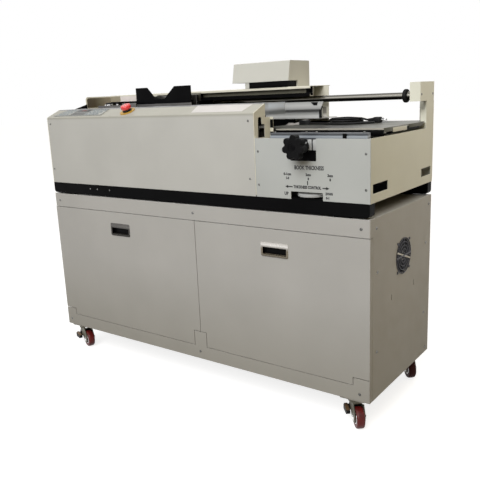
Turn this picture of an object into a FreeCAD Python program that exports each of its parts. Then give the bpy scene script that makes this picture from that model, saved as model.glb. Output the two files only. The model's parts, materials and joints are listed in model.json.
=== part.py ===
# Perfect binding machine on a castored steel cabinet, in millimetres.
# +X runs along the machine to the operator's right, +Y to the back and +Z up.
# The floor is z = 0. The model is drawn about the middle of the cabinet, and save() moves
# it back by half of what the star knob stands out in front, so the origin is in the middle.
import FreeCAD, Part
import math
import os

Vec = FreeCAD.Vector

# ---- running fits and gaps ------------------------------------------------------------
seat = 0.3  # between a piece and what it is screwed to or rests on
run_fit = 0.05  # radial clearance of a bore on its shaft
slide_fit = 0.1  # between faces that slide over each other
door_gap = 2.0  # round the cabinet doors
panel_gap = 0.5  # between two cover panels of the machine

# ---- cabinet --------------------------------------------------------------------------
cab_w = 1484.0
cab_d = 520.0
cab_h = 600.0
castor_h = 103.0  # floor to the underside of the cabinet
skin = 2.0  # sheet steel of the cabinet and of the covers
skin_bend = 4.0  # outer radius of its folds
band_h = 57.0  # the tray that closes the top
skirt_h = 51.0
door_depth = 18.0  # the skirt and the doors are pans of this depth
door_split = 49.0  # x of the line between the doors
gusset_w = 57.0
gusset_side_h = 78.0
gusset_mid_h = 110.0
shell_flange = 25.0
post_w = 40.0
floor_depth = 25.0
pull_w = 108.0
pull_h = 51.0
pull_drop = 45.0  # door top edge to the top of the pull
pull_deep = 13.0
pull_rim = 5.0
pull_proud = 1.5

# ---- fan and vents --------------------------------------------------------------------
fan_size = 120.0
fan_deep = 25.0
fan_bore = 116.0
fan_z = 431.0  # above the underside of the cabinet
fan_y = 2.0
fan_hub = 42.0
fan_blades = 7
fan_pitch = 38.0
guard_rings = 5
guard_wire = 2.4
slot_tall = 20.0
slot_wide = 4.0
slot_apart = 194.0
slot_drop = 120.0

# ---- castors --------------------------------------------------------------------------
castor_inset_x = 65.0
castor_inset_y = 40.0
castor_trail = 30.0
castor_turn = {"fl": -20.0, "fr": -50.0, "rl": -48.0, "rr": -48.0}  # degrees from +X
wheel_d = 72.0
wheel_w = 28.0
tread_edge = 5.0  # slant of the tread's edges
wheel_dish = 3.0
axle_d = 8.0
hub_d = 40.0
fork_gap = 1.5  # wheel to fork leg
fork_t = 3.0
fork_round = 15.0  # half width of a fork leg at the axle
race_d = 56.0
race_h = 14.0
plate_t = 4.0
plate_l = 92.0
plate_w = 76.0
braked = ("fl", "fr")  # the castors with a brake pedal
pedal_back = 46.0  # from the middle of the fork back to the end of the pedal
pedal_l = 42.0
pedal_w = 14.0
pedal_h = 18.0
pedal_z = 31.0
pedal_pin = 6.0
pedal_pin_x = 8.0  # behind the middle of the fork
pedal_pin_drop = 12.0
pedal_shoe = 19.0  # its shoe reaches below the pin by this

# ---- machine base ---------------------------------------------------------------------
rail_gap = 5.0
rail_h = 43.0
rail_d = 35.0
rail_round = 12.0
foot_l = 60.0
foot_in = 95.0
bed_t = 4.0

# ---- machine covers -------------------------------------------------------------------
station_w = 410.0  # right-hand station, from the split to the right side
panel_h = 193.0
cover_h = 274.0
slope_run = 67.0
slope_rise = 29.0
cover_lip = 15.0
end_t = 3.0
end_in = 2.0  # the end cover stands in from the cabinet side by this
deck_t = 4.0
deck_d = 130.0
deck_flange = 40.0
cheek_d = 92.0
cheek_step = 46.0  # below the deck the cheek is deeper than the slope
cheek_flange = 14.0
cheek_cut_in = 22.0  # from the front
cheek_cut_low = 192.0
cheek_cut_h = 67.0
cheek_cut_d = 41.0
cheek_hook_h = 43.0  # its low part, behind the tall one
cheek_hook_d = 25.0
end_rise = 50.0  # raised back of the left end cover above the deck
end_rise_y = -42.0
end_wedge_y = -109.0
end_wedge_h = 17.0
notch_w = 94.0
notch_deep = 70.0
window_w = 116.0
window_h = 25.0
panel_flange = 12.0
vent_front = (17.0, 110.0)  # from the front edge of the side panel, and its length
vent_rear = (18.0, 91.0)  # from the back edge, and its length
vent_low = 28.0
vent_h = 29.0
post_d = 72.0
post_top = 350.0
post_flange = 20.0
head_w = 37.0
head_d = 132.0
head_h = 64.0
head_hole_h = 29.0

# ---- rear beam, rod and hood ----------------------------------------------------------
beam_top = 355.0
beam_d = 154.0
beam_lip = 9.0
beam_mouth = 19.0
beam_shelf = 9.0
beam_pocket = 24.0
beam_wall = 297.0  # length of the closed part at its left end
rod_d = 24.0
rod_back = 90.0
rod_up = 2.0  # rod axis above the deck
collar_d = 31.0
collar_l = 21.0
bumper_d = 46.0
bumper_l = 15.0
bracket_w = 150.0
bracket_right = 22.5  # right of the split
bracket_y = 53.0  # from the back
bracket_low = 222.0
bracket_t = 3.0
bracket_hole_w = 33.0
bracket_hole_h = 45.0
bracket_hole_in = 10.5
bracket_hole_low = 11.0
bracket_bolt_d = 18.0
bracket_bolt_x = 14.5  # left of the hole
bracket_bolt_up = 12.0  # above it
hood_right = 90.0  # left of the split
hood_w = 262.0
hood_top = 452.0
hood_low = 378.0
hood_d = 157.0
hood_lean = 15.0
duct_w = 195.0
duct_d = 64.0
duct_in = 7.0
pedestal_w = 227.0
rear_low = 210.0  # height of the rear cover behind the station
rear_lap = 20.0  # its high part behind the bracket

# ---- glue, milling and guard ----------------------------------------------------------
guard_w = 240.0
guard_right = 58.0
guard_y = 80.0
guard_foot = 14.0  # above the foot of the bracket
guard_sheet_t = 2.0
tank_in = 302.0  # its left side, left of the split
tank_w = 210.0
tank_y = -58.0
tank_d = 118.0
tank_h = 62.0
tank_wall = 4.0
roller_d = 64.0
roller_l = 96.0
roller_shaft = 14.0
roller_up = 1.0  # top of the rollers above the table
roller_apart = 90.0
mill_in = 394.0  # left of the split
mill_d = 118.0
mill_t = 10.0
mill_teeth = 12
motor_d = 96.0
motor_h = 150.0
mill_shaft = 18.0

# ---- station --------------------------------------------------------------------------
table_up = 24.0  # table surface above the front panel
table_over = 70.0  # the table reaches left of the split by this
table_gap = 4.0  # from the table to the inside of the right side
table_front = 105.0  # from the front of the machine
table_back = 10.0
table_t = 6.0
nip_gap = 8.0
nip_travel = 30.0
bar_t = 12.0
bar_w = 103.0
bar_in = 13.0  # right of the split
tie_w = 40.0
tie_in = 20.0
lug_w = 28.0
lug_t = 3.5
corner_block = 48.0
register_y = 5.0  # behind the front face
register_d = 20.0
register_h = 16.5
register_in = 58.0  # its left end, right of the split
register_right = 12.0
groove_w = 3.0
groove_d = 4.0
stop_in = 85.0  # from the right side
stop_w = 12.0
stop_h = 14.0
lift_in = 217.0  # from the right side
lift_wheel_d = 104.0
lift_wheel_t = 10.0
lift_low = 8.0
lift_screw = 12.0
lift_boss = 30.0
lift_top = 140.0
lift_stick = 5.0  # the wheel stands out of the front by this
lift_arm_z = 114.0
lift_arm_t = 10.0
lift_arm_w = 80.0

# ---- star knob ------------------------------------------------------------------------
knob_in = 228.0  # from the right side
knob_up = 170.0  # shaft above the underside of the front panel
knob_out = 63.0
knob_d = 78.0
knob_t = 27.0
knob_lobes = 7
hub_ring_d = 44.0
hub_ring_out = 37.0
screw_d = 14.0
screw_in = 142.0
bearing_w = 62.0
bearing_t = 10.0
nut_w = 40.0
nut_l = 24.0
nut_h = 32.0
nut_y = 122.0
blade_w = 24.0
blade_t = 7.0

# ---- clamp carriage -------------------------------------------------------------------
clamp_in = 458.0  # its middle, from the left end
clamp_w = 301.0
clamp_face_y = -26.0
clamp_face_t = 6.0
clamp_face_h = 66.0
clamp_face_up = 10.0  # above the deck
jaw_t = 12.0
jaw_low = 66.0  # below the deck
jaw_high = 22.0
jaw_open = 20.0
rear_jaw_up = 39.0
jaw_ear = 24.0
jaw_ear_h = 30.0
jaw_pin_d = 12.0
jaw_pin_low = 40.0  # below the deck
jaw_pin_reach = 66.0
block_w = 244.0
block_d = 44.0
block_h = 42.0
arm_w = 40.0
arm_t = 14.0
box_w = 54.0
box_in = 50.0  # its right side, in from the end of the jaws
box_gap = 3.0
tongue_t = 10.0
tongue_in = 18.0  # into the mouth of the beam

# ---- control panel and stop button ----------------------------------------------------
panel_in = 34.0  # from the left end
panel_w = 296.0
panel_slant = 36.0
panel_low = 9.0
panel_long = 60.0
panel_t = 1.5
stop_button_in = 455.0  # from the left end
stop_button_s = 39.0
stop_ring_d = 60.0
stop_ring_t = 2.5
stop_neck_d = 29.0
stop_neck_h = 9.0
stop_head_d = 40.0
stop_head_h = 13.0
stop_travel = 4.0

# ---- mains lead, coiled on the table --------------------------------------------------
cord_d = 7.0
coil_d = 140.0
coil_hole = 68.0
coil_h = 22.0
coil_in = 152.0  # right of the split
coil_y = 106.0
connector_l = 40.0
connector_w = 22.0
connector_h = 16.0
connector_in = -10.0  # right of the split
connector_y = 50.0
plug_l = 46.0
plug_w = 26.0
plug_h = 20.0

# ---- levels and lines that follow from the sizes --------------------------------------
half_w = cab_w / 2
front_y = -cab_d / 2
back_y = cab_d / 2
z_cab = castor_h
z_cab_top = z_cab + cab_h
z_band = z_cab_top - band_h
z_rail = z_cab_top + rail_gap
z_body = z_rail + rail_h
z_panel = z_body + panel_h
z_bend = z_body + cover_h
z_deck = z_bend + slope_rise
z_beam = z_body + beam_top
z_rod = z_deck + rod_up
z_table = z_panel + table_up
z_knob = z_body + knob_up
split_x = half_w - station_w
slope_y = front_y + slope_run
deck_back = slope_y + deck_d
rod_y = back_y - rod_back
beam_y = back_y - beam_d
beam_x = split_x + 1.0
door_back = front_y + door_depth - seat
shell_y = front_y + door_depth + seat
head_x = half_w - head_w
slope_angle = math.degrees(math.atan2(slope_rise, slope_run))
table_right = half_w - table_gap
nip_rear_front = clamp_face_y + clamp_face_t + jaw_t + jaw_open
nip_front_back = nip_rear_front - nip_gap
cheek_back = front_y + cheek_d
bracket_x1 = split_x + bracket_right
bracket_x0 = bracket_x1 - bracket_w
tank_x = split_x - tank_in
mill_x = split_x - mill_in
table_left = split_x - table_over
bar_left = split_x + bar_in
register_left = split_x + register_in
stop_x = half_w - stop_in
lift_x = half_w - lift_in
knob_x = half_w - knob_in
clamp_x = -half_w + clamp_in
panel_x0 = -half_w + panel_in
panel_x1 = panel_x0 + panel_w
stop_button_x = -half_w + stop_button_in
coil_x = split_x + coil_in
connector_x = split_x + connector_in


# ---- shape helpers --------------------------------------------------------------------
def box(x0, x1, y0, y1, z0, z1):
    return Part.makeBox(x1 - x0, y1 - y0, z1 - z0, Vec(x0, y0, z0))


def rod(axis, a, b, p, q, diameter):
    """A cylinder from a to b along an axis; p and q are its place across the axis."""
    place, direction = {
        "x": (Vec(a, p, q), Vec(1, 0, 0)),
        "y": (Vec(p, a, q), Vec(0, 1, 0)),
        "z": (Vec(p, q, a), Vec(0, 0, 1)),
    }[axis]
    return Part.makeCylinder(diameter / 2, b - a, place, direction)


def outline(points):
    """Closed flat wire through (u, v) or (u, v, corner radius) points, in the xy plane."""
    corners = []
    for i, point in enumerate(points):
        here = Vec(point[0], point[1], 0)
        radius = point[2] if len(point) > 2 else 0
        if not radius:
            corners.append((here, None, here))
            continue
        before = Vec(points[i - 1][0], points[i - 1][1], 0) - here
        after = Vec(points[(i + 1) % len(points)][0], points[(i + 1) % len(points)][1], 0) - here
        half = before.getAngle(after) / 2
        before.normalize()
        after.normalize()
        middle = (before + after).normalize()
        reach = radius / math.tan(half)
        top = here + middle * (radius / math.sin(half) - radius)
        corners.append((here + before * reach, top, here + after * reach))
    edges = []
    for i, (start, top, end) in enumerate(corners):
        if top is not None:
            edges.append(Part.Arc(start, top, end).toShape())
        following = corners[(i + 1) % len(corners)][0]
        if end.distanceToPoint(following) > 1e-6:
            edges.append(Part.LineSegment(end, following).toShape())
    return Part.Wire(edges)


def prism(axis, points, a, b):
    """The outline pushed from a to b along an axis: (y, z), (x, z) or (x, y) points."""
    face = Part.Face(outline(points))
    solid = face.extrude(Vec(0, 0, b - a))
    turn = {
        "x": FreeCAD.Matrix(0, 0, 1, a, 1, 0, 0, 0, 0, 1, 0, 0, 0, 0, 0, 1),
        "y": FreeCAD.Matrix(1, 0, 0, 0, 0, 0, -1, b, 0, 1, 0, 0, 0, 0, 0, 1),
        "z": FreeCAD.Matrix(1, 0, 0, 0, 0, 1, 0, 0, 0, 0, 1, a, 0, 0, 0, 1),
    }[axis]
    return moved(solid, turn)


def moved(shape, matrix):
    copy = shape.copy()
    copy.transformShape(matrix, True)
    return copy


def folded(path, thick, bend):
    """Closed outline of a folded sheet: an open path of its outer face, and the sheet
    laid to the left of it, with the outer bend radius at each fold."""
    line = [Vec(u, v, 0) for u, v in path]
    across = []
    for start, end in zip(line, line[1:]):
        run = (end - start).normalize()
        across.append(Vec(-run.y, run.x, 0))
    outer = [tuple(path[0])]
    inner = [tuple((line[0] + across[0] * thick)[:2])]
    for i in range(1, len(line) - 1):
        total = across[i - 1] + across[i]
        shift = total * (2 * thick / total.dot(total))
        inside = across[i].cross(across[i - 1]).z < 0
        near = line[i] + shift
        outer.append((line[i].x, line[i].y, bend if inside else max(bend - thick, 0.5)))
        inner.append((near.x, near.y, max(bend - thick, 0.5) if inside else bend))
    outer.append(tuple(path[-1]))
    inner.append(tuple((line[-1] + across[-1] * thick)[:2]))
    return outer + inner[::-1]


def rect(u0, u1, v0, v1, radius=0):
    return [(u0, v0, radius), (u1, v0, radius), (u1, v1, radius), (u0, v1, radius)]


def joined(first, *others):
    return first.fuse(list(others)).removeSplitter()


def without(shape, *cutters):
    return shape.cut(list(cutters))


def turned(shape, angle, centre, axis):
    copy = shape.copy()
    copy.rotate(centre, axis, angle)
    return copy


def on_slope(shape):
    """From (x, distance up the slope, height off it) to its place on the sloped cover."""
    copy = turned(shape, slope_angle, Vec(0, 0, 0), Vec(1, 0, 0))
    copy.translate(Vec(0, front_y, z_bend))
    return copy


def save(name, shape):
    solids = shape.Solids
    if not solids or not shape.isValid():
        print("check", name, len(solids), shape.isValid())
    shape = shape.copy()
    shape.translate(Vec(0, knob_out / 2, 0))
    shape.exportStep("parts/" + name + ".step")
    limits = shape.BoundBox
    print(name, len(solids), [round(v, 1) for v in (
        limits.XMin, limits.YMin, limits.ZMin, limits.XMax, limits.YMax, limits.ZMax)])


# ---- cabinet --------------------------------------------------------------------------
def cabinet_shell():
    wrap = folded(
        [
            (-half_w + shell_flange, shell_y),
            (-half_w, shell_y),
            (-half_w, back_y),
            (half_w, back_y),
            (half_w, shell_y),
            (half_w - shell_flange, shell_y),
        ][::-1],
        skin,
        skin_bend,
    )
    shell = prism("z", wrap, z_cab, z_band)
    z_fan = z_cab + fan_z
    cutters = [rod("x", -half_w - 1, half_w + 1, fan_y, z_fan, fan_bore)]
    for side in (-1, 1):
        y_slot = fan_y + side * slot_apart / 2
        z_slot = z_fan - slot_drop
        cutters.append(
            box(
                half_w - skin - 1,
                half_w + 1,
                y_slot - slot_wide / 2,
                y_slot + slot_wide / 2,
                z_slot - slot_tall / 2,
                z_slot + slot_tall / 2,
            )
        )
    return without(shell, *cutters)


def cabinet_top():
    outer = prism("z", rect(-half_w, half_w, front_y, back_y, skin_bend), z_band, z_cab_top)
    inner = prism(
        "z",
        rect(-half_w + skin, half_w - skin, front_y + skin, back_y - skin, skin_bend - skin),
        z_band - 1,
        z_cab_top - skin,
    )
    return without(outer, inner)


def castor_places():
    x = half_w - castor_inset_x
    y = cab_d / 2 - castor_inset_y
    return {"fl": (-x, -y), "fr": (x, -y), "rl": (-x, y), "rr": (x, y)}


def cabinet_floor():
    side = half_w - skin - seat
    near = shell_y + skin + seat
    far = back_y - skin - seat
    pan = without(
        prism("z", rect(-side, side, near, far, skin_bend), z_cab, z_cab + floor_depth),
        prism(
            "z",
            rect(-side + skin, side - skin, near + skin, far - skin, skin_bend - skin),
            z_cab + skin,
            z_cab + floor_depth + 1,
        ),
    )
    plates = []
    for x, y in castor_places().values():
        plates.append(
            prism(
                "z",
                rect(x - plate_l / 2, x + plate_l / 2, y - plate_w / 2, y + plate_w / 2, 8),
                z_cab - plate_t,
                z_cab,
            )
        )
    return joined(pan, *plates)


def gussets():
    """Left and right edge and height of the three corner plates over the skirt."""
    mid = door_split - 3
    return [
        (-half_w, -half_w + gusset_w, gusset_side_h),
        (mid - gusset_w / 2, mid + gusset_w / 2, gusset_mid_h),
        (half_w - gusset_w, half_w, gusset_side_h),
    ]


def front_frame():
    top = z_cab + skirt_h
    skirt = without(
        box(-half_w, half_w, front_y, front_y + door_depth, z_cab, top),
        box(
            -half_w + skin,
            half_w - skin,
            front_y + skin,
            front_y + door_depth + 1,
            z_cab + skin,
            top - skin,
        ),
    )
    plates = [
        prism("y", rect(x0, x1, z_cab, z_cab + high, 3), front_y, front_y + skin)
        for x0, x1, high in gussets()
    ]
    y0 = front_y + door_depth
    post = prism(
        "z",
        folded(
            [
                (door_split + post_w / 2, y0 + door_depth),
                (door_split + post_w / 2, y0),
                (door_split - post_w / 2, y0),
                (door_split - post_w / 2, y0 + door_depth),
            ][::-1],
            skin,
            skin_bend,
        ),
        z_cab + floor_depth + seat,
        z_band - seat,
    )
    return joined(skirt, post, *plates)


def door(x0, x1):
    low = z_cab + skirt_h + door_gap
    high = z_band - door_gap
    pan = without(
        box(x0, x1, front_y, door_back, low, high),
        box(x0 + skin, x1 - skin, front_y + skin, door_back + 1, low + skin, high - skin),
    )
    notches = []
    rims = []
    for g0, g1, tall in gussets():
        n0 = max(g0 - door_gap, x0 - 1)
        n1 = min(g1 + door_gap, x1 + 1)
        if n1 > x0 and n0 < x1:
            top = z_cab + tall + door_gap
            notches.append(box(n0, n1, front_y - 1, door_back + 1, low - 1, top))
            rims.append(box(n0 - skin, n1 + skin, front_y, door_back, low, top + skin))
    keep = box(x0, x1, front_y, door_back, low, high)
    pan = joined(pan, *[rim.common(keep) for rim in rims])
    x_mid = (x0 + x1) / 2
    z_pull = high - pull_drop - pull_h / 2
    hole = box(
        x_mid - pull_w / 2 + pull_rim,
        x_mid + pull_w / 2 - pull_rim,
        front_y - 1,
        door_back,
        z_pull - pull_h / 2 + pull_rim,
        z_pull + pull_h / 2 - pull_rim,
    )
    return without(pan, hole, *notches)


def pull(x0, x1):
    """Flush cup pull: a bezel, a cup behind it and a rolled grip along its top edge."""
    x = (x0 + x1) / 2
    z = z_band - door_gap - pull_drop - pull_h / 2
    w = pull_w / 2
    h = pull_h / 2
    bezel = prism("y", rect(x - w, x + w, z - h, z + h, 6), front_y - pull_proud, front_y)
    inside = pull_rim + seat
    cup = prism(
        "y",
        rect(x - w + inside, x + w - inside, z - h + inside, z + h - inside, 4),
        front_y,
        front_y + pull_deep,
    )
    wall = inside + 1.5
    hollow = prism(
        "y",
        rect(x - w + wall, x + w - wall, z - h + wall, z + h - wall, 3),
        front_y - pull_proud - 1,
        front_y + pull_deep - 1.5,
    )
    grip = rod("x", x - w + inside, x + w - inside, front_y + 2, z + h - wall - 1.5, 6)
    return joined(without(joined(bezel, cup), hollow), grip)


# ---- fan ------------------------------------------------------------------------------
def fan_frame():
    x1 = half_w - skin
    x0 = x1 - fan_deep
    z = z_cab + fan_z
    s = fan_size / 2
    frame = prism("x", rect(fan_y - s, fan_y + s, z - s, z + s, 6), x0, x1)
    frame = without(frame, rod("x", x0 - 1, x1 + 1, fan_y, z, fan_bore))
    spokes = [rod("x", x0, x0 + 4, fan_y, z, fan_hub)]
    for k in range(4):
        spoke = box(x0, x0 + 4, fan_y, fan_y + fan_bore / 2 + 2, z - 2.5, z + 2.5)
        spokes.append(turned(spoke, 45 + 90 * k, Vec(0, fan_y, z), Vec(1, 0, 0)))
    return joined(frame, *spokes)


def fan_rotor():
    x0 = half_w - skin - fan_deep + 4 + seat
    x1 = half_w - skin - 3
    z = z_cab + fan_z
    rotor = rod("x", x0, x1, fan_y, z, fan_hub)
    root = fan_hub / 2 - 2
    tip = fan_bore / 2 - 2
    depth = x1 - x0 - 2
    blades = []
    for k in range(fan_blades):
        sections = []
        for radius, pitch in ((root, fan_pitch + 12), (tip, fan_pitch)):
            chord = depth / math.sin(math.radians(pitch))
            lean = math.radians(pitch)
            dx = chord / 2 * math.sin(lean)
            dy = chord / 2 * math.cos(lean)
            nx = 0.9 * math.cos(lean)
            ny = -0.9 * math.sin(lean)
            mid = (x0 + x1) / 2
            corners = [
                Vec(mid - dx - nx, fan_y - dy - ny, z + radius),
                Vec(mid + dx - nx, fan_y + dy - ny, z + radius),
                Vec(mid + dx + nx, fan_y + dy + ny, z + radius),
                Vec(mid - dx + nx, fan_y - dy + ny, z + radius),
            ]
            sections.append(Part.makePolygon(corners + corners[:1]))
        blade = Part.makeLoft(sections, True, True)
        blades.append(turned(blade, 360 * k / fan_blades, Vec(0, fan_y, z), Vec(1, 0, 0)))
    limit = rod("x", x0, x1, fan_y, z, 2 * tip)
    return joined(rotor, *[blade.common(limit) for blade in blades])


def fan_guard(side):
    """Rings on ribs, on the outside of the cabinet side: side is 1 or -1."""
    z = z_cab + fan_z
    x0, x1 = sorted((side * half_w, side * (half_w + guard_wire)))
    step = (fan_bore / 2 + 4) / guard_rings
    parts = []
    for k in range(1, guard_rings + 1):
        radius = step * k
        ring = rod("x", x0, x1, fan_y, z, 2 * radius)
        parts.append(without(ring, rod("x", x0, x1, fan_y, z, 2 * (radius - guard_wire))))
    reach = step * guard_rings - guard_wire / 2
    parts.append(box(x0, x1, fan_y - reach, fan_y + reach, z - 3, z + 3))
    parts.append(box(x0, x1, fan_y - guard_wire / 2, fan_y + guard_wire / 2, z - reach, z + reach))
    for k in range(4):
        ear = rod("x", x0, x1, fan_y + fan_size / 2 + 10, z, 9)
        arm = box(x0, x1, fan_y + reach - 1, fan_y + fan_size / 2 + 10, z - 2, z + 2)
        for piece in (ear, arm):
            parts.append(turned(piece, 45 + 90 * k, Vec(0, fan_y, z), Vec(1, 0, 0)))
    return joined(parts[0], *parts[1:])


# ---- castors --------------------------------------------------------------------------
def stand(shape, corner, x, y):
    """A castor piece drawn with its trail along +X, put under the cabinet."""
    copy = turned(shape, castor_turn[corner], Vec(0, 0, 0), Vec(0, 0, 1))
    copy.translate(Vec(x, y, 0))
    return copy


def castor_fork():
    top = z_cab - plate_t - seat
    low = top - race_h
    wheel_r = wheel_d / 2
    half = wheel_w / 2 + fork_gap
    race = without(
        Part.makeCylinder(race_d / 2, race_h, Vec(0, 0, low)),
        Part.makeCylinder(race_d / 2 + 2, 2, Vec(0, 0, top - 6)).cut(
            Part.makeCylinder(race_d / 2 - 3, 2, Vec(0, 0, top - 6))
        ),
    )
    crown = prism("z", rect(-race_d / 2 + 4, race_d / 2 - 4, -half - fork_t, half + fork_t, 4), low - 4, low)
    leg_points = [
        (-race_d / 2 + 4, low, 0),
        (-race_d / 2 + 8, low - 20, 10),
        (castor_trail - fork_round, wheel_r - fork_round, 12),
        (castor_trail + fork_round, wheel_r - fork_round, 12),
        (castor_trail + fork_round, wheel_r + fork_round, 14),
        (race_d / 2 - 4, low, 0),
    ]
    legs = [
        prism("y", leg_points, -half - fork_t, -half),
        prism("y", leg_points, half, half + fork_t),
    ]
    axle = rod("y", -half - fork_t - 3, half + fork_t + 3, castor_trail, wheel_r, axle_d)
    pin = rod("y", -half, half, -pedal_pin_x, low - pedal_pin_drop, pedal_pin)
    return joined(race, crown, axle, pin, *legs)


def castor_wheel():
    r = wheel_d / 2
    w = wheel_w / 2
    h = hub_d / 2
    bore = axle_d / 2 + run_fit
    boss = axle_d / 2 + 4
    half_section = [
        (bore, -w),
        (boss, -w),
        (boss + 1, -w + wheel_dish),
        (h - 2, -w + wheel_dish),
        (h, -w),
        (r - tread_edge, -w),
        (r, -w + tread_edge),
        (r, w - tread_edge),
        (r - tread_edge, w),
        (h, w),
        (h - 2, w - wheel_dish),
        (boss + 1, w - wheel_dish),
        (boss, w),
        (bore, w),
    ]
    face = Part.Face(outline(half_section))
    wheel = face.revolve(Vec(0, 0, 0), Vec(0, 1, 0), 360)
    wheel.translate(Vec(castor_trail, 0, r))
    return wheel


def castor_pedal():
    """Brake pedal on a pin in the fork: a shoe over the wheel, a bar behind the fork and
    a foot tread beside its near leg."""
    z = z_cab - plate_t - seat - race_h - pedal_pin_drop
    half = wheel_w / 2 + fork_gap - seat
    back = -pedal_back
    front = back + 14
    side = -wheel_w / 2 - fork_gap - fork_t - 1.5
    lever = [
        (0, z + 7, 3),
        (-race_d / 2, z + 5, 4),
        (back, pedal_z + pedal_h, 4),
        (back, pedal_z, 2),
        (front, pedal_z, 2),
        (front, z - pedal_shoe, 4),
        (-4, z - pedal_shoe, 2),
    ]
    arm = prism("y", lever, -half, half)
    bar = prism("y", rect(back, front, pedal_z, pedal_z + pedal_h, 3), side - pedal_w, 0)
    tread = prism(
        "y",
        [
            (back, pedal_z, 3),
            (back + pedal_l, pedal_z, 3),
            (back + pedal_l, pedal_z + pedal_h - 6, 3),
            (back, pedal_z + pedal_h, 3),
        ],
        side - pedal_w,
        side,
    )
    bore = rod("y", -half - 1, half + 1, -pedal_pin_x, z, pedal_pin + 2 * run_fit)
    return without(joined(arm, bar, tread), bore)


# ---- base rails and bed ---------------------------------------------------------------
def base_rail(y0, y1):
    profile = [
        (-half_w + end_in, z_body),
        (-half_w + end_in, z_rail, rail_round),
        (half_w - end_in, z_rail, rail_round),
        (half_w - end_in, z_body),
    ]
    feet = []
    for x in (-half_w + foot_in, -foot_in, half_w - foot_in):
        feet.append(box(x - foot_l / 2, x + foot_l / 2, y0 + 4, y1 - 4, z_cab_top, z_rail))
    return joined(prism("y", profile, y0, y1), *feet)


def bed_plate():
    return box(
        -half_w + end_in + end_t + seat,
        half_w - skin - seat,
        front_y + skin + seat,
        back_y - skin - seat,
        z_body,
        z_body + bed_t,
    )


# ---- machine covers -------------------------------------------------------------------
def cover_profile():
    """Outer line of the left cover: up the front, up the slope and down the lip."""
    return [
        (front_y, z_body),
        (front_y, z_bend),
        (slope_y, z_deck),
        (slope_y, z_deck - cover_lip),
    ]


def front_cover():
    left = -half_w + end_in + end_t + seat
    return prism("x", folded(cover_profile()[::-1], skin, 5), left, split_x - end_t - seat)


def end_cover():
    top = z_deck + end_rise
    profile = [
        (front_y, z_body),
        (front_y, z_bend, 5),
        (slope_y, z_deck, 3),
        (end_wedge_y, z_deck, 4),
        (end_rise_y, z_deck + end_wedge_h, 3),
        (end_rise_y, top, 12),
        (back_y - skin - seat, top, 6),
        (back_y - skin - seat, z_body),
    ]
    return prism("x", profile, -half_w + end_in, -half_w + end_in + end_t)


def cheek_plate():
    """End plate at the split, with the hooked hole for the linkage of the clamp."""
    low = z_body + bed_t + seat
    z_step = z_deck - cheek_step
    profile = [
        (front_y, low),
        (front_y, z_bend, 5),
        (slope_y, z_deck, 3),
        (slope_y, z_step),
        (cheek_back, z_step, 3),
        (cheek_back, low),
    ]
    y0 = front_y + cheek_cut_in
    y1 = y0 + cheek_hook_d
    y2 = y0 + cheek_cut_d
    z0 = z_body + cheek_cut_low
    z1 = z0 + cheek_hook_h
    z2 = z0 + cheek_cut_h
    hole = [
        (y0, z0, 3),
        (y2, z0, 3),
        (y2, z1, 4),
        (y1, z1, 3),
        (y1 - 2, z2, 6),
        (y0 + 2, z2, 8),
    ]
    x0 = split_x - end_t
    plate = without(prism("x", profile, x0, split_x), prism("x", hole, x0 - 1, split_x + 1))
    flange = box(x0, split_x + cheek_flange, cheek_back, cheek_back + skin, low, z_step)
    return joined(plate, flange)


def deck_plate():
    left = -half_w + end_in + end_t + seat
    near = slope_y + seat
    profile = folded(
        [(near, z_deck - deck_flange), (near, z_deck), (deck_back, z_deck), (deck_back, z_deck - deck_flange)][::-1],
        skin,
        skin_bend,
    )
    return prism("x", profile, left, split_x - end_t - seat)


def front_panel():
    x0 = split_x + panel_gap
    x1 = half_w
    face = prism("y", rect(x0, x1, z_body, z_panel), front_y, front_y + skin)
    flange = box(x0, x1 - skin - seat, front_y + skin, front_y + panel_flange, z_panel - skin, z_panel)
    knob_notch = prism(
        "y",
        [
            (knob_x - notch_w / 2, z_panel + 1),
            (knob_x - notch_w / 2, z_panel - notch_deep, 3),
            (knob_x + notch_w / 2, z_panel - notch_deep, 3),
            (knob_x + notch_w / 2, z_panel + 1),
        ],
        front_y - 1,
        front_y + panel_flange + 1,
    )
    window = prism(
        "y",
        [
            (lift_x - window_w / 2, z_body - 1),
            (lift_x - window_w / 2, z_body + window_h, 3),
            (lift_x + window_w / 2, z_body + window_h, 3),
            (lift_x + window_w / 2, z_body - 1),
        ],
        front_y - 1,
        front_y + skin + 1,
    )
    return without(joined(face, flange), knob_notch, window)


def post_front():
    return back_y - skin - seat - post_d + skin


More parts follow.
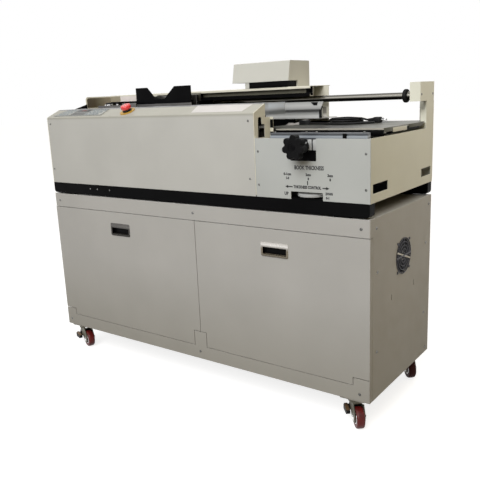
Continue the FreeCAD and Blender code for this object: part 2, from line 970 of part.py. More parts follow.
def side_panel():
    """Right side: the low panel, the post at its back and the box that holds the rod."""
    x0 = half_w - skin
    y0 = front_y + skin + seat
    y1 = back_y - skin - seat
    z_top = z_body + post_top
    z_head = z_top - head_h
    post_y = post_front()
    head_y = back_y - head_d
    profile = [
        (y0, z_body),
        (y0, z_panel),
        (post_y, z_panel),
        (post_y, z_head),
        (head_y, z_head),
        (head_y, z_top, 3),
        (y1, z_top, 3),
        (y1, z_body),
    ]
    sheet = prism("x", profile, x0, half_w)
    vents = []
    for start, length in (
        (front_y + vent_front[0], vent_front[1]),
        (back_y - vent_rear[0] - vent_rear[1], vent_rear[1]),
    ):
        vents.append(
            prism(
                "x",
                rect(start, start + length, z_body + vent_low, z_body + vent_low + vent_h, 2),
                x0 - 1,
                half_w + 1,
            )
        )
    flange = without(
        box(half_w - post_flange, x0, post_y, post_y + skin, z_panel, z_head),
        box(half_w - post_flange - 1, x0 - 4, post_y - 1, post_y + skin + 1, z_head - head_hole_h, z_head - 2),
    )
    back_flange = box(half_w - post_flange, x0, y1 - skin, y1, z_panel, z_head)
    head = without(
        box(head_x, half_w, head_y, y1, z_head, z_top),
        box(head_x + skin, x0, head_y + skin, y1 - skin, z_head - 1, z_top - skin),
        rod("x", head_x - 1, head_x + skin + 1, rod_y, z_rod, rod_d + 2 * seat),
    )
    return joined(without(sheet, *vents), flange, back_flange, head)


def rear_cover():
    x0 = -half_w + end_in
    x1 = half_w
    low = z_body
    profile = [
        (x0, low),
        (x0, z_beam - skin - seat),
        (bracket_x0 + rear_lap, z_beam - skin - seat),
        (bracket_x0 + rear_lap, low + rear_low, 8),
        (x1 - post_flange - 30, low + rear_low, 8),
        (x1 - post_flange - 30, z_body + post_top - head_h, 8),
        (x1, z_body + post_top - head_h),
        (x1, low),
    ]
    return prism("y", profile, back_y - skin, back_y)


# ---- rear beam, rod, bracket and hood -------------------------------------------------
def beam():
    """Open-fronted channel over the guide rod, with its front closed at the left end."""
    left = -half_w + end_in + end_t + seat
    lip_low = z_beam - beam_lip
    mouth_low = lip_low - beam_mouth
    path = [
        (beam_y, mouth_low - 1),
        (beam_y, mouth_low - beam_shelf),
        (beam_y + beam_pocket, mouth_low - beam_shelf),
        (beam_y + beam_pocket, z_beam - skin),
    ]
    pocket = prism("x", folded(path, skin, 3), left, beam_x)
    roof_path = [(beam_y, lip_low), (beam_y, z_beam), (back_y, z_beam)]
    roof = prism("x", folded(roof_path[::-1], skin, 3), left, beam_x)
    wall = box(left, left + beam_wall, beam_y, beam_y + skin, mouth_low - beam_shelf / 2, lip_low + beam_lip / 2)
    return joined(pocket, roof, wall)


def guide_rod():
    left = -half_w + end_in + end_t + seat
    shaft = rod("x", left, half_w - skin - seat, rod_y, z_rod, rod_d)
    collar = rod("x", head_x - seat - collar_l, head_x - seat, rod_y, z_rod, collar_d)
    return joined(shaft, collar)


def rod_bumper():
    x1 = head_x - 2 * seat - collar_l
    x0 = x1 - bumper_l
    ring = rod("x", x0, x1, rod_y, z_rod, bumper_d)
    rounded = [e for e in ring.Edges if e.Curve.TypeId == "Part::GeomCircle"]
    ring = ring.makeFillet(5, rounded)
    return without(ring, rod("x", x0 - 1, x1 + 1, rod_y, z_rod, rod_d + 2 * seat))


def rear_bracket():
    """Plate beside the station, folded back at its left edge, with a window and a bolt."""
    y0 = back_y - bracket_y
    low = z_body + bracket_low
    high = z_beam - skin - seat
    path = [(bracket_x0, back_y - skin - seat), (bracket_x0, y0), (bracket_x1, y0)]
    plate = prism("z", folded(path, bracket_t, 4), low, high)
    x_hole = bracket_x1 - bracket_hole_in - bracket_hole_w
    z_hole = low + bracket_hole_low
    hole = prism(
        "y",
        rect(x_hole, x_hole + bracket_hole_w, z_hole, z_hole + bracket_hole_h, 3),
        y0 - 1,
        y0 + bracket_t + 1,
    )
    bolt_z = z_hole + bracket_hole_h + bracket_bolt_up
    bolt = rod("y", y0 - 8, y0, x_hole - bracket_bolt_x, bolt_z, bracket_bolt_d)
    return joined(without(plate, hole), bolt)


def hood():
    """Fume hood with a sloped front, standing on the beam over a dark inlet box."""
    x1 = split_x - hood_right
    x0 = x1 - hood_w
    y0 = back_y - hood_d
    low = z_body + hood_low
    high = z_body + hood_top
    profile = [
        (y0 + hood_lean, high, 3),
        (y0, low),
        (back_y, low),
        (back_y, high, 3),
    ]
    wall = skin
    inside = [
        (y0 + hood_lean + wall, high - wall),
        (y0 + wall, low - 1),
        (back_y - wall, low - 1),
        (back_y - wall, high - wall),
    ]
    cap = without(prism("x", profile, x0, x1), prism("x", inside, x0 + wall, x1 - wall))
    pedestal_y = y0 + 3 + duct_d
    pedestal = without(
        box(x1 - pedestal_w, x1, pedestal_y, back_y, z_beam, low + wall),
        box(x1 - pedestal_w + wall, x1 - wall, pedestal_y + wall, back_y - wall, z_beam - 1, low + wall + 1),
    )
    dx = x1 - duct_in
    duct = without(
        box(dx - duct_w, dx, y0 + 3, pedestal_y, z_beam, low + wall),
        box(dx - duct_w + wall, dx - wall, y0 + 3 + wall, pedestal_y - wall, z_beam - 1, low + wall + 1),
    )
    return joined(cap, pedestal, duct)


# ---- glue unit, milling unit and guard sheet ------------------------------------------
def guard_sheet():
    """Bent rear wall of the book slot, carried by the bracket behind it."""
    x1 = split_x + guard_right
    x0 = x1 - guard_w
    back = back_y - bracket_y - seat
    z_low = z_body + bracket_low + guard_foot
    path = [
        (guard_y + 22, z_deck - 6),
        (guard_y, z_deck - 33),
        (guard_y + 8, z_deck - 42),
        (guard_y + 2, z_low + 22),
        (guard_y + 2, z_low),
        (back, z_low),
    ]
    return prism("x", folded(path, guard_sheet_t, 3), x0, x1)


def glue_tank():
    top = z_table - 8
    x1 = tank_x + tank_w
    y1 = tank_y + tank_d
    tank = without(
        prism("z", rect(tank_x, x1, tank_y, y1, 8), top - tank_h, top),
        prism(
            "z",
            rect(tank_x + tank_wall, x1 - tank_wall, tank_y + tank_wall, y1 - tank_wall, 4),
            top - tank_h + tank_wall,
            top + 1,
        ),
    )
    z_axle = z_table + roller_up - roller_d / 2
    mid = tank_x + tank_w / 2
    bores = [
        rod("y", tank_y - 1, y1 + 1, mid + side * roller_apart / 2, z_axle, roller_shaft + 2 * run_fit)
        for side in (-1, 1)
    ]
    legs = [
        box(x, x + 30, tank_y + 20, y1 - 20, z_body + bed_t, top - tank_h)
        for x in (tank_x + 10, x1 - 40)
    ]
    return without(joined(tank, *legs), *bores)


def glue_roller(side):
    x = tank_x + tank_w / 2 + side * roller_apart / 2
    z = z_table + roller_up - roller_d / 2
    y_mid = tank_y + tank_d / 2
    drum = rod("y", y_mid - roller_l / 2, y_mid + roller_l / 2, x, z, roller_d)
    shaft = rod("y", tank_y - 6, tank_y + tank_d + 6, x, z, roller_shaft)
    return joined(drum, shaft)


def mill_motor():
    low = z_body + bed_t
    y = tank_y + tank_d / 2
    body = rod("z", low, low + motor_h, mill_x, y, motor_d)
    fins = []
    for k in range(12):
        fin = box(mill_x + motor_d / 2 - 1, mill_x + motor_d / 2 + 4, y - 1.5, y + 1.5, low + 20, low + motor_h - 20)
        fins.append(turned(fin, 30 * k, Vec(mill_x, y, 0), Vec(0, 0, 1)))
    flange = box(mill_x - 60, mill_x + 60, y - 52, y + 52, low, low + 8)
    bore = rod("z", low + motor_h - 30, low + motor_h + 1, mill_x, y, mill_shaft + 2 * run_fit)
    return without(joined(body, flange, *fins), bore)


def mill_disc():
    """Notching cutter: a disc with raised cutter blocks round its rim, on its shaft."""
    y = tank_y + tank_d / 2
    top = z_table
    disc = rod("z", top - mill_t, top - 3, mill_x, y, mill_d)
    blocks = []
    for k in range(mill_teeth):
        block = prism(
            "z",
            [
                (mill_x + mill_d / 2 - 14, y - 4, 1),
                (mill_x + mill_d / 2 - 1, y - 6, 1),
                (mill_x + mill_d / 2 - 1, y + 3, 1),
                (mill_x + mill_d / 2 - 14, y + 4, 1),
            ],
            top - 4,
            top,
        )
        blocks.append(turned(block, 360 * k / mill_teeth, Vec(mill_x, y, 0), Vec(0, 0, 1)))
    boss = Part.makeCone(22, 16, 8, Vec(mill_x, y, top - mill_t - 8))
    motor_top = z_body + bed_t + motor_h
    shaft = rod("z", motor_top - 29, top - mill_t, mill_x, y, mill_shaft)
    return joined(disc, boss, shaft, *blocks)


# ---- station --------------------------------------------------------------------------
def table_frame():
    """The frame that lifts: two bars under the table, ties, and the arm on the lift screw."""
    z1 = z_table - table_t
    z0 = z1 - bar_t
    front_bar = box(bar_left, table_right, nip_front_back - seat - bar_w, nip_front_back - seat, z0, z1 - slide_fit)
    y_rear = nip_rear_front + 12
    rear_bar = box(bar_left, table_right, y_rear, y_rear + bar_w, z0, z1)
    ties = [
        box(x, x + tie_w, nip_front_back - bar_w, y_rear + tie_in, z0 - 6, z0)
        for x in (bar_left + tie_in, table_right - tie_in - tie_w)
    ]
    z_arm = z_body + lift_arm_z
    arm_y = lift_centre_y() - 16
    web_y = nip_front_back - seat - bar_w
    arm = box(lift_x - lift_arm_w / 2, lift_x + lift_arm_w / 2, arm_y, web_y + 10, z_arm, z_arm + lift_arm_t)
    web = box(lift_x - lift_arm_w / 2, lift_x + lift_arm_w / 2, web_y, web_y + 10, z_arm, z0)
    bore = rod("z", z_arm - 1, z_arm + lift_arm_t + 1, lift_x, lift_centre_y(), lift_screw + 2 * run_fit)
    return without(joined(front_bar, rear_bar, arm, web, *ties), bore)


def lift_centre_y():
    return front_y - lift_stick + lift_wheel_d / 2


def nip_front():
    """Front plate of the table, cut back beside the cheek plate, with the lugs of its drive."""
    y0 = front_y + table_front
    z1 = z_table
    z0 = z1 - table_t
    clear_x = split_x + cheek_flange + table_gap
    clear_y = cheek_back + skin + nip_travel + table_gap
    plate = prism(
        "z",
        [
            (table_left, clear_y, 2),
            (clear_x, clear_y, 3),
            (clear_x, y0, 2),
            (table_right, y0, 6),
            (table_right, nip_front_back),
            (table_left, nip_front_back),
        ],
        z0,
        z1,
    )
    corner = box(table_right - corner_block, table_right, y0, y0 + 14, z0 - 10, z0)
    y_blade = nut_middle()
    gap = blade_t / 2 + slide_fit
    lugs = [
        box(knob_x - lug_w / 2, knob_x + lug_w / 2, y_blade + gap, y_blade + gap + lug_t, z0 - 20, z0),
        box(knob_x - lug_w / 2, knob_x + lug_w / 2, y_blade - gap - lug_t, y_blade - gap, z0 - 20, z0),
    ]
    return joined(plate, corner, *lugs)


def nut_middle():
    return front_y + nut_y


def nip_rear():
    """Rear plate of the table, cut out at the post and at the bracket."""
    step_y = post_front() - table_gap
    step_x = half_w - post_flange - table_gap
    back = back_y - skin - table_back
    clear_x = bracket_x1 + table_gap
    clear_y = back_y - bracket_y - table_gap
    return prism(
        "z",
        [
            (table_left, nip_rear_front),
            (table_right, nip_rear_front),
            (table_right, step_y, 3),
            (step_x, step_y),
            (step_x, back, 6),
            (clear_x, back, 6),
            (clear_x, clear_y),
            (table_left, clear_y, 6),
        ],
        z_table - table_t,
        z_table,
    )


def nip_nut():
    y = nut_middle()
    block = box(knob_x - nut_w / 2, knob_x + nut_w / 2, y - nut_l / 2, y + nut_l / 2, z_knob - 18, z_knob - 18 + nut_h)
    top = z_table - table_t - 6
    blade = box(knob_x - blade_w / 2, knob_x + blade_w / 2, y - blade_t / 2, y + blade_t / 2, z_knob, top)
    bore = rod("y", y - nut_l, y + nut_l, knob_x, z_knob, screw_d + 2 * run_fit)
    return without(joined(block, blade), bore)


def star_knob():
    """Lobed hand knob, its ring and the screw that moves the front plate of the table."""
    y0 = front_y - knob_out
    y1 = y0 + knob_t
    core = rod("y", y0, y1, knob_x, z_knob, knob_d * 0.76)
    lobe_r = knob_d * 0.14
    lobes = []
    for k in range(knob_lobes):
        lobe = rod("y", y0, y1, knob_x, z_knob + knob_d / 2 - lobe_r, 2 * lobe_r)
        lobes.append(turned(lobe, 360 * k / knob_lobes, Vec(knob_x, 0, z_knob), Vec(0, 1, 0)))
    star = joined(core, *lobes)
    rim = [
        e
        for e in star.Edges
        if abs(e.BoundBox.YMin - e.BoundBox.YMax) < 1e-6 and abs(e.BoundBox.YMin - y0) < 1e-6
    ]
    star = star.makeChamfer(2.5, rim)
    dish = Part.makeCylinder(knob_d * 0.2, 2, Vec(knob_x, y0, z_knob), Vec(0, 1, 0))
    neck = rod("y", y1, front_y - hub_ring_out + knob_t, knob_x, z_knob, 26)
    ring_y = front_y - hub_ring_out + 1
    ring = rod("y", ring_y, front_y + 8, knob_x, z_knob, hub_ring_d)
    ring = ring.makeChamfer(2, [e for e in ring.Edges if e.Curve.TypeId == "Part::GeomCircle"])
    screw = rod("y", front_y, front_y + screw_in, knob_x, z_knob, screw_d)
    return joined(without(star, dish), neck, ring, screw)


def register_rail():
    """Grooved bar along the front of the table, with the bearing of the knob's screw."""
    y0 = front_y + register_y
    y1 = y0 + register_d
    z1 = z_panel + register_h
    z_groove = z_panel + register_h * 0.62
    profile = [
        (y0, z_panel),
        (y1, z_panel, 1),
        (y1, z1, 1.5),
        (y0, z1, 1.5),
        (y0, z_groove + groove_w / 2),
        (y0 + groove_d, z_groove + groove_w / 2),
        (y0 + groove_d, z_groove - groove_w / 2),
        (y0, z_groove - groove_w / 2),
    ]
    bar = prism("x", profile, register_left, half_w - register_right)
    low = z_knob - 26
    y_plate = y1 + 8
    half = bearing_w / 2
    plate = prism(
        "y",
        [
            (knob_x - half, z1, 4),
            (knob_x - half, z_knob, 6),
            (knob_x - 18, low, 12),
            (knob_x + 18, low, 12),
            (knob_x + half, z_knob, 6),
            (knob_x + half, z1, 4),
        ],
        y_plate,
        y_plate + bearing_t,
    )
    strap = box(knob_x - half, knob_x + half, y1 - 2, y_plate + 2, z_panel + 2, z_panel + 8)
    boss = rod("y", y_plate - 6, y_plate + bearing_t, knob_x, z_knob, 30)
    bore = rod("y", y_plate - 8, y_plate + bearing_t + 2, knob_x, z_knob, screw_d + 2 * run_fit)
    return without(joined(bar, plate, strap, boss), bore)


def register_stop():
    y0 = front_y + register_y
    z_groove = z_panel + register_h * 0.62
    x0 = stop_x - stop_w / 2
    x1 = stop_x + stop_w / 2
    thick = register_y - skin - slide_fit
    block = box(x0, x1, y0 - slide_fit - thick, y0 - slide_fit, z_panel + seat, z_panel + seat + stop_h)
    fit = groove_w / 2 - slide_fit
    tongue = box(x0, x1, y0 - slide_fit, y0 + groove_d - slide_fit, z_groove - fit, z_groove + fit)
    return joined(block, tongue)


def lift_wheel():
    """Thumbwheel lying in the window of the front panel, on its lift screw."""
    y = lift_centre_y()
    z0 = z_body + lift_low
    wheel = rod("z", z0, z0 + lift_wheel_t, lift_x, y, lift_wheel_d)
    wheel = wheel.makeChamfer(1.5, [e for e in wheel.Edges if e.Curve.TypeId == "Part::GeomCircle"])
    boss = rod("z", z_body + bed_t + seat, z0 + lift_wheel_t + 6, lift_x, y, lift_boss)
    screw = rod("z", z_body + bed_t + seat, z_body + lift_top, lift_x, y, lift_screw)
    return joined(wheel, boss, screw)


# ---- clamp carriage -------------------------------------------------------------------
def jaw_face_y():
    return clamp_face_y + clamp_face_t + jaw_t


def rear_jaw_y():
    return jaw_face_y() + jaw_open


def jaw_pins():
    reach = clamp_w / 2 + jaw_ear / 2
    return (clamp_x - reach, clamp_x + reach)


def jaw_bar(y0, y1, high):
    """A jaw with an ear at each end for the guide pins, which pass clear of the book."""
    x0 = clamp_x - clamp_w / 2
    x1 = clamp_x + clamp_w / 2
    z_pin = z_deck - jaw_pin_low
    profile = [
        (x0, z_deck - jaw_low),
        (x1, z_deck - jaw_low),
        (x1, z_pin - jaw_ear_h / 2),
        (x1 + jaw_ear, z_pin - jaw_ear_h / 2, 6),
        (x1 + jaw_ear, z_pin + jaw_ear_h / 2, 6),
        (x1, z_pin + jaw_ear_h / 2),
        (x1, high, 2),
        (x0, high, 2),
        (x0, z_pin + jaw_ear_h / 2),
        (x0 - jaw_ear, z_pin + jaw_ear_h / 2, 6),
        (x0 - jaw_ear, z_pin - jaw_ear_h / 2, 6),
        (x0, z_pin - jaw_ear_h / 2),
    ]
    return prism("y", profile, y0, y1)


def carriage():
    """Rear jaw, two arms under the beam, the bearing block on the rod and a drive box."""
    x1 = clamp_x + clamp_w / 2
    y0 = rear_jaw_y()
    y1 = y0 + jaw_t
    jaw = jaw_bar(y0, y1, z_deck + rear_jaw_up)
    bx0 = clamp_x - block_w / 2 - 20
    bx1 = bx0 + block_w
    z0 = z_rod - block_h / 2
    block = box(bx0, bx1, rod_y - block_d / 2, rod_y + block_d / 2, z0, z0 + block_h)
    block = block.makeChamfer(3, [e for e in block.Edges if e.Length == block_w])
    z_arm = z_beam - beam_lip - beam_mouth - beam_shelf - 2 - arm_t
    arms = [
        box(x, x + arm_w, y1 - 1, rod_y - block_d / 2 + 4, z_arm, z_arm + arm_t)
        for x in (bx0, bx1 - arm_w)
    ]
    box_x1 = x1 - box_in
    box_x0 = box_x1 - box_w
    drive = prism("x", rect(y1 - 1, beam_y - box_gap, z_arm + 2, z_beam - 7, 3), box_x0, box_x1)
    z_mouth = z_beam - beam_lip - beam_mouth / 2
    half = tongue_t / 2
    tongue = box(
        box_x0 + 8,
        box_x1 - 8,
        beam_y - box_gap - 1,
        beam_y + tongue_in,
        z_mouth - half,
        z_mouth + half,
    )
    bores = [rod("x", bx0 - 1, bx1 + 1, rod_y, z_rod, rod_d + 2 * run_fit)]
    for x in jaw_pins():
        bores.append(rod("y", y0 - 1, y1 + 1, x, z_deck - jaw_pin_low, jaw_pin_d + 2 * run_fit))
    return without(joined(jaw, block, drive, tongue, *arms), *bores)


def front_jaw():
    """Dark face plate with its trapezoid notch, the jaw behind it and its guide pins."""
    x0 = clamp_x - clamp_w / 2
    x1 = clamp_x + clamp_w / 2
    low = z_deck + clamp_face_up
    high = low + clamp_face_h
    notch = low + clamp_face_h * 0.28
    face = prism(
        "y",
        [
            (x0, low, 1.5),
            (x1, low, 1.5),
            (x1, high, 2),
            (x1 - 84, high, 2),
            (x1 - 140, notch, 3),
            (x0 + 110, notch, 3),
            (x0 + 63, high, 2),
            (x0, high, 2),
        ],
        clamp_face_y,
        clamp_face_y + clamp_face_t,
    )
    y0 = clamp_face_y + clamp_face_t
    jaw = jaw_bar(y0, y0 + jaw_t, z_deck + jaw_high)
    pins = [
        rod("y", y0 + jaw_t, y0 + jaw_t + jaw_pin_reach, x, z_deck - jaw_pin_low, jaw_pin_d)
        for x in jaw_pins()
    ]
    return joined(face, jaw, *pins)


# ---- control panel and stop button ----------------------------------------------------
def control_panel():
    plate = prism(
        "z",
        [
            (panel_x0, panel_low, 3),
            (panel_x1, panel_low, 3),
            (panel_x1, panel_low + panel_long, 3),
            (panel_x0 + panel_slant, panel_low + panel_long, 3),
        ],
        0,
        panel_t,
    )
    return on_slope(plate)


def stop_base():
    ring = rod("z", 0, stop_ring_t, stop_button_x, stop_button_s, stop_ring_d)
    neck = rod("z", stop_ring_t, stop_neck_h, stop_button_x, stop_button_s, stop_neck_d)
    bore = rod("z", 2, stop_neck_h + 1, stop_button_x, stop_button_s, 16 + 2 * run_fit)
    return on_slope(without(joined(ring, neck), bore))


def stop_button():
    low = stop_neck_h + stop_travel + 1
    head = rod("z", low, low + stop_head_h, stop_button_x, stop_button_s, stop_head_d)
    top = [
        e
        for e in head.Edges
        if e.Curve.TypeId == "Part::GeomCircle" and abs(e.BoundBox.ZMin - low - stop_head_h) < 1e-6
    ]
    head = head.makeFillet(5, top)
    stem = rod("z", 2 + stop_travel + 1, low, stop_button_x, stop_button_s, 16)
    return on_slope(joined(head, stem))


# ---- mains lead -----------------------------------------------------------------------
def cord_points():
    """Centre line of the free stretch of the lead, from the connector to the coil."""
    z = z_table + cord_d / 2 + seat
    return [
        Vec(connector_x + connector_l + seat, connector_y, z),
        Vec(connector_x + connector_l + 34, connector_y, z),
        Vec(coil_x - 40, coil_y - coil_d / 2 - 10, z),
        Vec(coil_x + 28, coil_y - coil_d / 2 - 10, z),
        Vec(coil_x + coil_d / 2 + 38, coil_y - 46, z),
        Vec(coil_x + coil_d / 2 + 38, coil_y, z),
        Vec(coil_x + coil_d / 2 + seat, coil_y, z),
    ]


def tube(points, diameter):
    """A round tube along straight runs with a tangent arc at each turn."""
    spine = []
    start = points[0]
    radii = []
    for i in range(1, len(points) - 1):
        here = points[i]
        back = points[i - 1] - here
        ahead = points[i + 1] - here
        turn = math.pi - back.getAngle(ahead)
        radius = 0.45 * min(back.Length, ahead.Length) / math.tan(turn / 2)
        reach = radius * math.tan(turn / 2)
        back.normalize()
        ahead.normalize()
        middle = (back + ahead).normalize()
        a = here + back * reach
        b = here + ahead * reach
        top = here + middle * (radius / math.cos(turn / 2) - radius)
        spine.append(Part.LineSegment(start, a).toShape())
        spine.append(Part.Arc(a, top, b).toShape())
        start = b
        radii.append(round(radius, 1))
    spine.append(Part.LineSegment(start, points[-1]).toShape())
    print("cord radii", radii)
    path = Part.Wire(spine)
    ring = Part.Wire(Part.makeCircle(diameter / 2, points[0], points[1] - points[0]))
    return path.makePipeShell([ring], True, True)


def cord_coil():
    z0 = z_table + seat
    ring = rod("z", z0, z0 + coil_h, coil_x, coil_y, coil_d)
    ring = without(ring, rod("z", z0 - 1, z0 + coil_h + 1, coil_x, coil_y, coil_hole))
    return ring


def cord_connector():
    z0 = z_table + seat
    body = prism(
        "z",
        [
            (connector_x, connector_y - connector_w / 2, 3),
            (connector_x + connector_l * 0.7, connector_y - connector_w / 2, 5),
            (connector_x + connector_l, connector_y - 6, 2),
            (connector_x + connector_l, connector_y + 6, 2),
            (connector_x + connector_l * 0.7, connector_y + connector_w / 2, 5),
            (connector_x, connector_y + connector_w / 2, 3),
        ],
        z0,
        z0 + connector_h,
    )
    return body


def cord_plug():
    """Plug lying beside the coil, where the coiled lead ends."""
    z0 = z_table + seat
    y = coil_y + 26
    neck_x = coil_x + math.sqrt((coil_d / 2) ** 2 - 21 ** 2) + seat
    x0 = neck_x + 22
    body = prism(
        "z",
        [
            (neck_x, y - 5),
            (x0, y - plug_w / 2, 5),
            (x0 + plug_l - 12, y - plug_w / 2, 3),
            (x0 + plug_l - 12, y + plug_w / 2, 3),
            (x0, y + plug_w / 2, 5),
            (neck_x, y + 5),
        ],
        z0,
        z0 + plug_h,
    )
    pins = [
        rod("x", x0 + plug_l - 14, x0 + plug_l + 4, y + side * 9.5, z0 + plug_h / 2, 4.8)
        for side in (-1, 1)
    ]
    return joined(body, *pins)


def build():
    os.makedirs("parts", exist_ok=True)
    left_door = (-half_w, door_split - door_gap / 2)
    right_door = (door_split + door_gap / 2, half_w)
    save("cabinet_shell", cabinet_shell())
    save("cabinet_top", cabinet_top())
    save("cabinet_floor", cabinet_floor())
    save("front_frame", front_frame())
    save("door_left", door(*left_door))
    save("door_right", door(*right_door))
    save("pull_left", pull(*left_door))
    save("pull_right", pull(*right_door))
    save("fan_frame", fan_frame())
    save("fan_rotor", fan_rotor())
    save("fan_guard", fan_guard(1))
    save("vent_guard", fan_guard(-1))
    for corner, (x, y) in castor_places().items():
        save("castor_fork_" + corner, stand(castor_fork(), corner, x, y))
        save("castor_wheel_" + corner, stand(castor_wheel(), corner, x, y))
        if corner in braked:
            save("castor_pedal_" + corner, stand(castor_pedal(), corner, x, y))
    save("rail_front", base_rail(front_y, front_y + rail_d))
    save("rail_rear", base_rail(back_y - rail_d, back_y))
    save("bed_plate", bed_plate())
    save("front_cover", front_cover())
    save("end_cover", end_cover())
    save("cheek_plate", cheek_plate())
    save("deck_plate", deck_plate())
    save("front_panel", front_panel())
    save("side_panel", side_panel())
    save("rear_cover", rear_cover())
    save("beam", beam())
    save("guide_rod", guide_rod())
    save("rod_bumper", rod_bumper())
    save("rear_bracket", rear_bracket())
    save("hood", hood())
    save("guard_sheet", guard_sheet())
    save("glue_tank", glue_tank())
    save("glue_roller_1", glue_roller(-1))
    save("glue_roller_2", glue_roller(1))
    save("mill_motor", mill_motor())
    save("mill_disc", mill_disc())
    save("table_frame", table_frame())
    save("nip_front", nip_front())
    save("nip_rear", nip_rear())
    save("nip_nut", nip_nut())
    save("star_knob", star_knob())
    save("register_rail", register_rail())
    save("register_stop", register_stop())
    save("lift_wheel", lift_wheel())
    save("carriage", carriage())
    save("front_jaw", front_jaw())
    save("control_panel", control_panel())
    save("stop_base", stop_base())
    save("stop_button", stop_button())
    save("cord_connector", cord_connector())
    save("cord_lead", tube(cord_points(), cord_d))
    save("cord_coil", cord_coil())
    save("cord_plug", cord_plug())


build()
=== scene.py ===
import json
import math

import bmesh
import bpy
from mathutils import Matrix, Vector


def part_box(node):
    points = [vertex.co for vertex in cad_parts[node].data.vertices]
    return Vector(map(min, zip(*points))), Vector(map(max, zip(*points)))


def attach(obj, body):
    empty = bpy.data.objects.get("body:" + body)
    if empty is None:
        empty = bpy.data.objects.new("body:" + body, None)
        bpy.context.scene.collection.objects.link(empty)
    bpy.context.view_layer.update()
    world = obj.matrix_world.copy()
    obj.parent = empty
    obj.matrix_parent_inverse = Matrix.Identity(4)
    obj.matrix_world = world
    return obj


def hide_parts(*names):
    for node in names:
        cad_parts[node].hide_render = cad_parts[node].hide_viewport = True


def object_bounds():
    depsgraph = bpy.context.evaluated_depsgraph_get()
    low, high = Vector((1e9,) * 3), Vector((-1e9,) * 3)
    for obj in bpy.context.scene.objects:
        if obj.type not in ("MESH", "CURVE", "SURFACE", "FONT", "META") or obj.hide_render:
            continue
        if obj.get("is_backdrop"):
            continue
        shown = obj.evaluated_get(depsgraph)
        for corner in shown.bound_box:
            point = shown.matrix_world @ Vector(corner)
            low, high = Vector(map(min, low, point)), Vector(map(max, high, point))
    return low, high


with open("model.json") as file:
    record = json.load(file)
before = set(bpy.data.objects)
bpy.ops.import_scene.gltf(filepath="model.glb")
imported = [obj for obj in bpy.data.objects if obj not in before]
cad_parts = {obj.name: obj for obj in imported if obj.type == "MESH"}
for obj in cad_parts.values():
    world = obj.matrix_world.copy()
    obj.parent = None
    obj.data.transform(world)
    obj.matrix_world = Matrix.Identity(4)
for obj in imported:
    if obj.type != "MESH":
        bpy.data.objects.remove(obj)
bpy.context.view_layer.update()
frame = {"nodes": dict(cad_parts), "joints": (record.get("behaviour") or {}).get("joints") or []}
print("frame loaded")

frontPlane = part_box("front_frame")[0].y
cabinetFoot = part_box("cabinet_shell")[0].z
halfDepth = 260.0  # mm, of the cabinet
sideFace = 742.0
corners = ("fl", "fr", "rl", "rr")


# places are given in mm: x from the middle, y from the cabinet's middle line, z from its lower edge
def at(x, y, z):
    return Vector((x / 1000, frontPlane + halfDepth / 1000 + y / 1000, cabinetFoot + z / 1000))


# linear light of a colour given out of 255
def tone(colour):
    return tuple(pow((v / 255 + 0.055) / 1.055, 2.4) if v > 10 else v / 255 / 12.92 for v in colour)


def linkObject(name, data):
    holder = bpy.data.objects.new(name, data)
    bpy.context.collection.objects.link(holder)
    return holder


# a shader node whose inputs are set to a value or joined to another node's output
def addNode(tree, kind, inputs, **settings):
    node = tree.nodes.new("ShaderNode" + kind)
    for name, value in settings.items():
        setattr(node, name, value)
    setInputs(tree, node, inputs)
    return node


def setInputs(tree, node, inputs):
    for name, value in inputs.items():
        if isinstance(value, bpy.types.NodeSocket):
            tree.links.new(value, node.inputs[name])
        else:
            node.inputs[name].default_value = value


# colour ramp with its stops in rising order; a lone number is a grey
def addRamp(tree, source, stops):
    ramp = addNode(tree, "ValToRGB", {"Fac": source})
    for spot, colour in stops[1:-1]:
        ramp.color_ramp.elements.new(spot)
    for holder, (spot, colour) in zip(ramp.color_ramp.elements, stops):
        holder.position = spot
        holder.color = (*colour, 1) if isinstance(colour, tuple) else (colour, colour, colour, 1)
    return ramp.outputs["Color"]


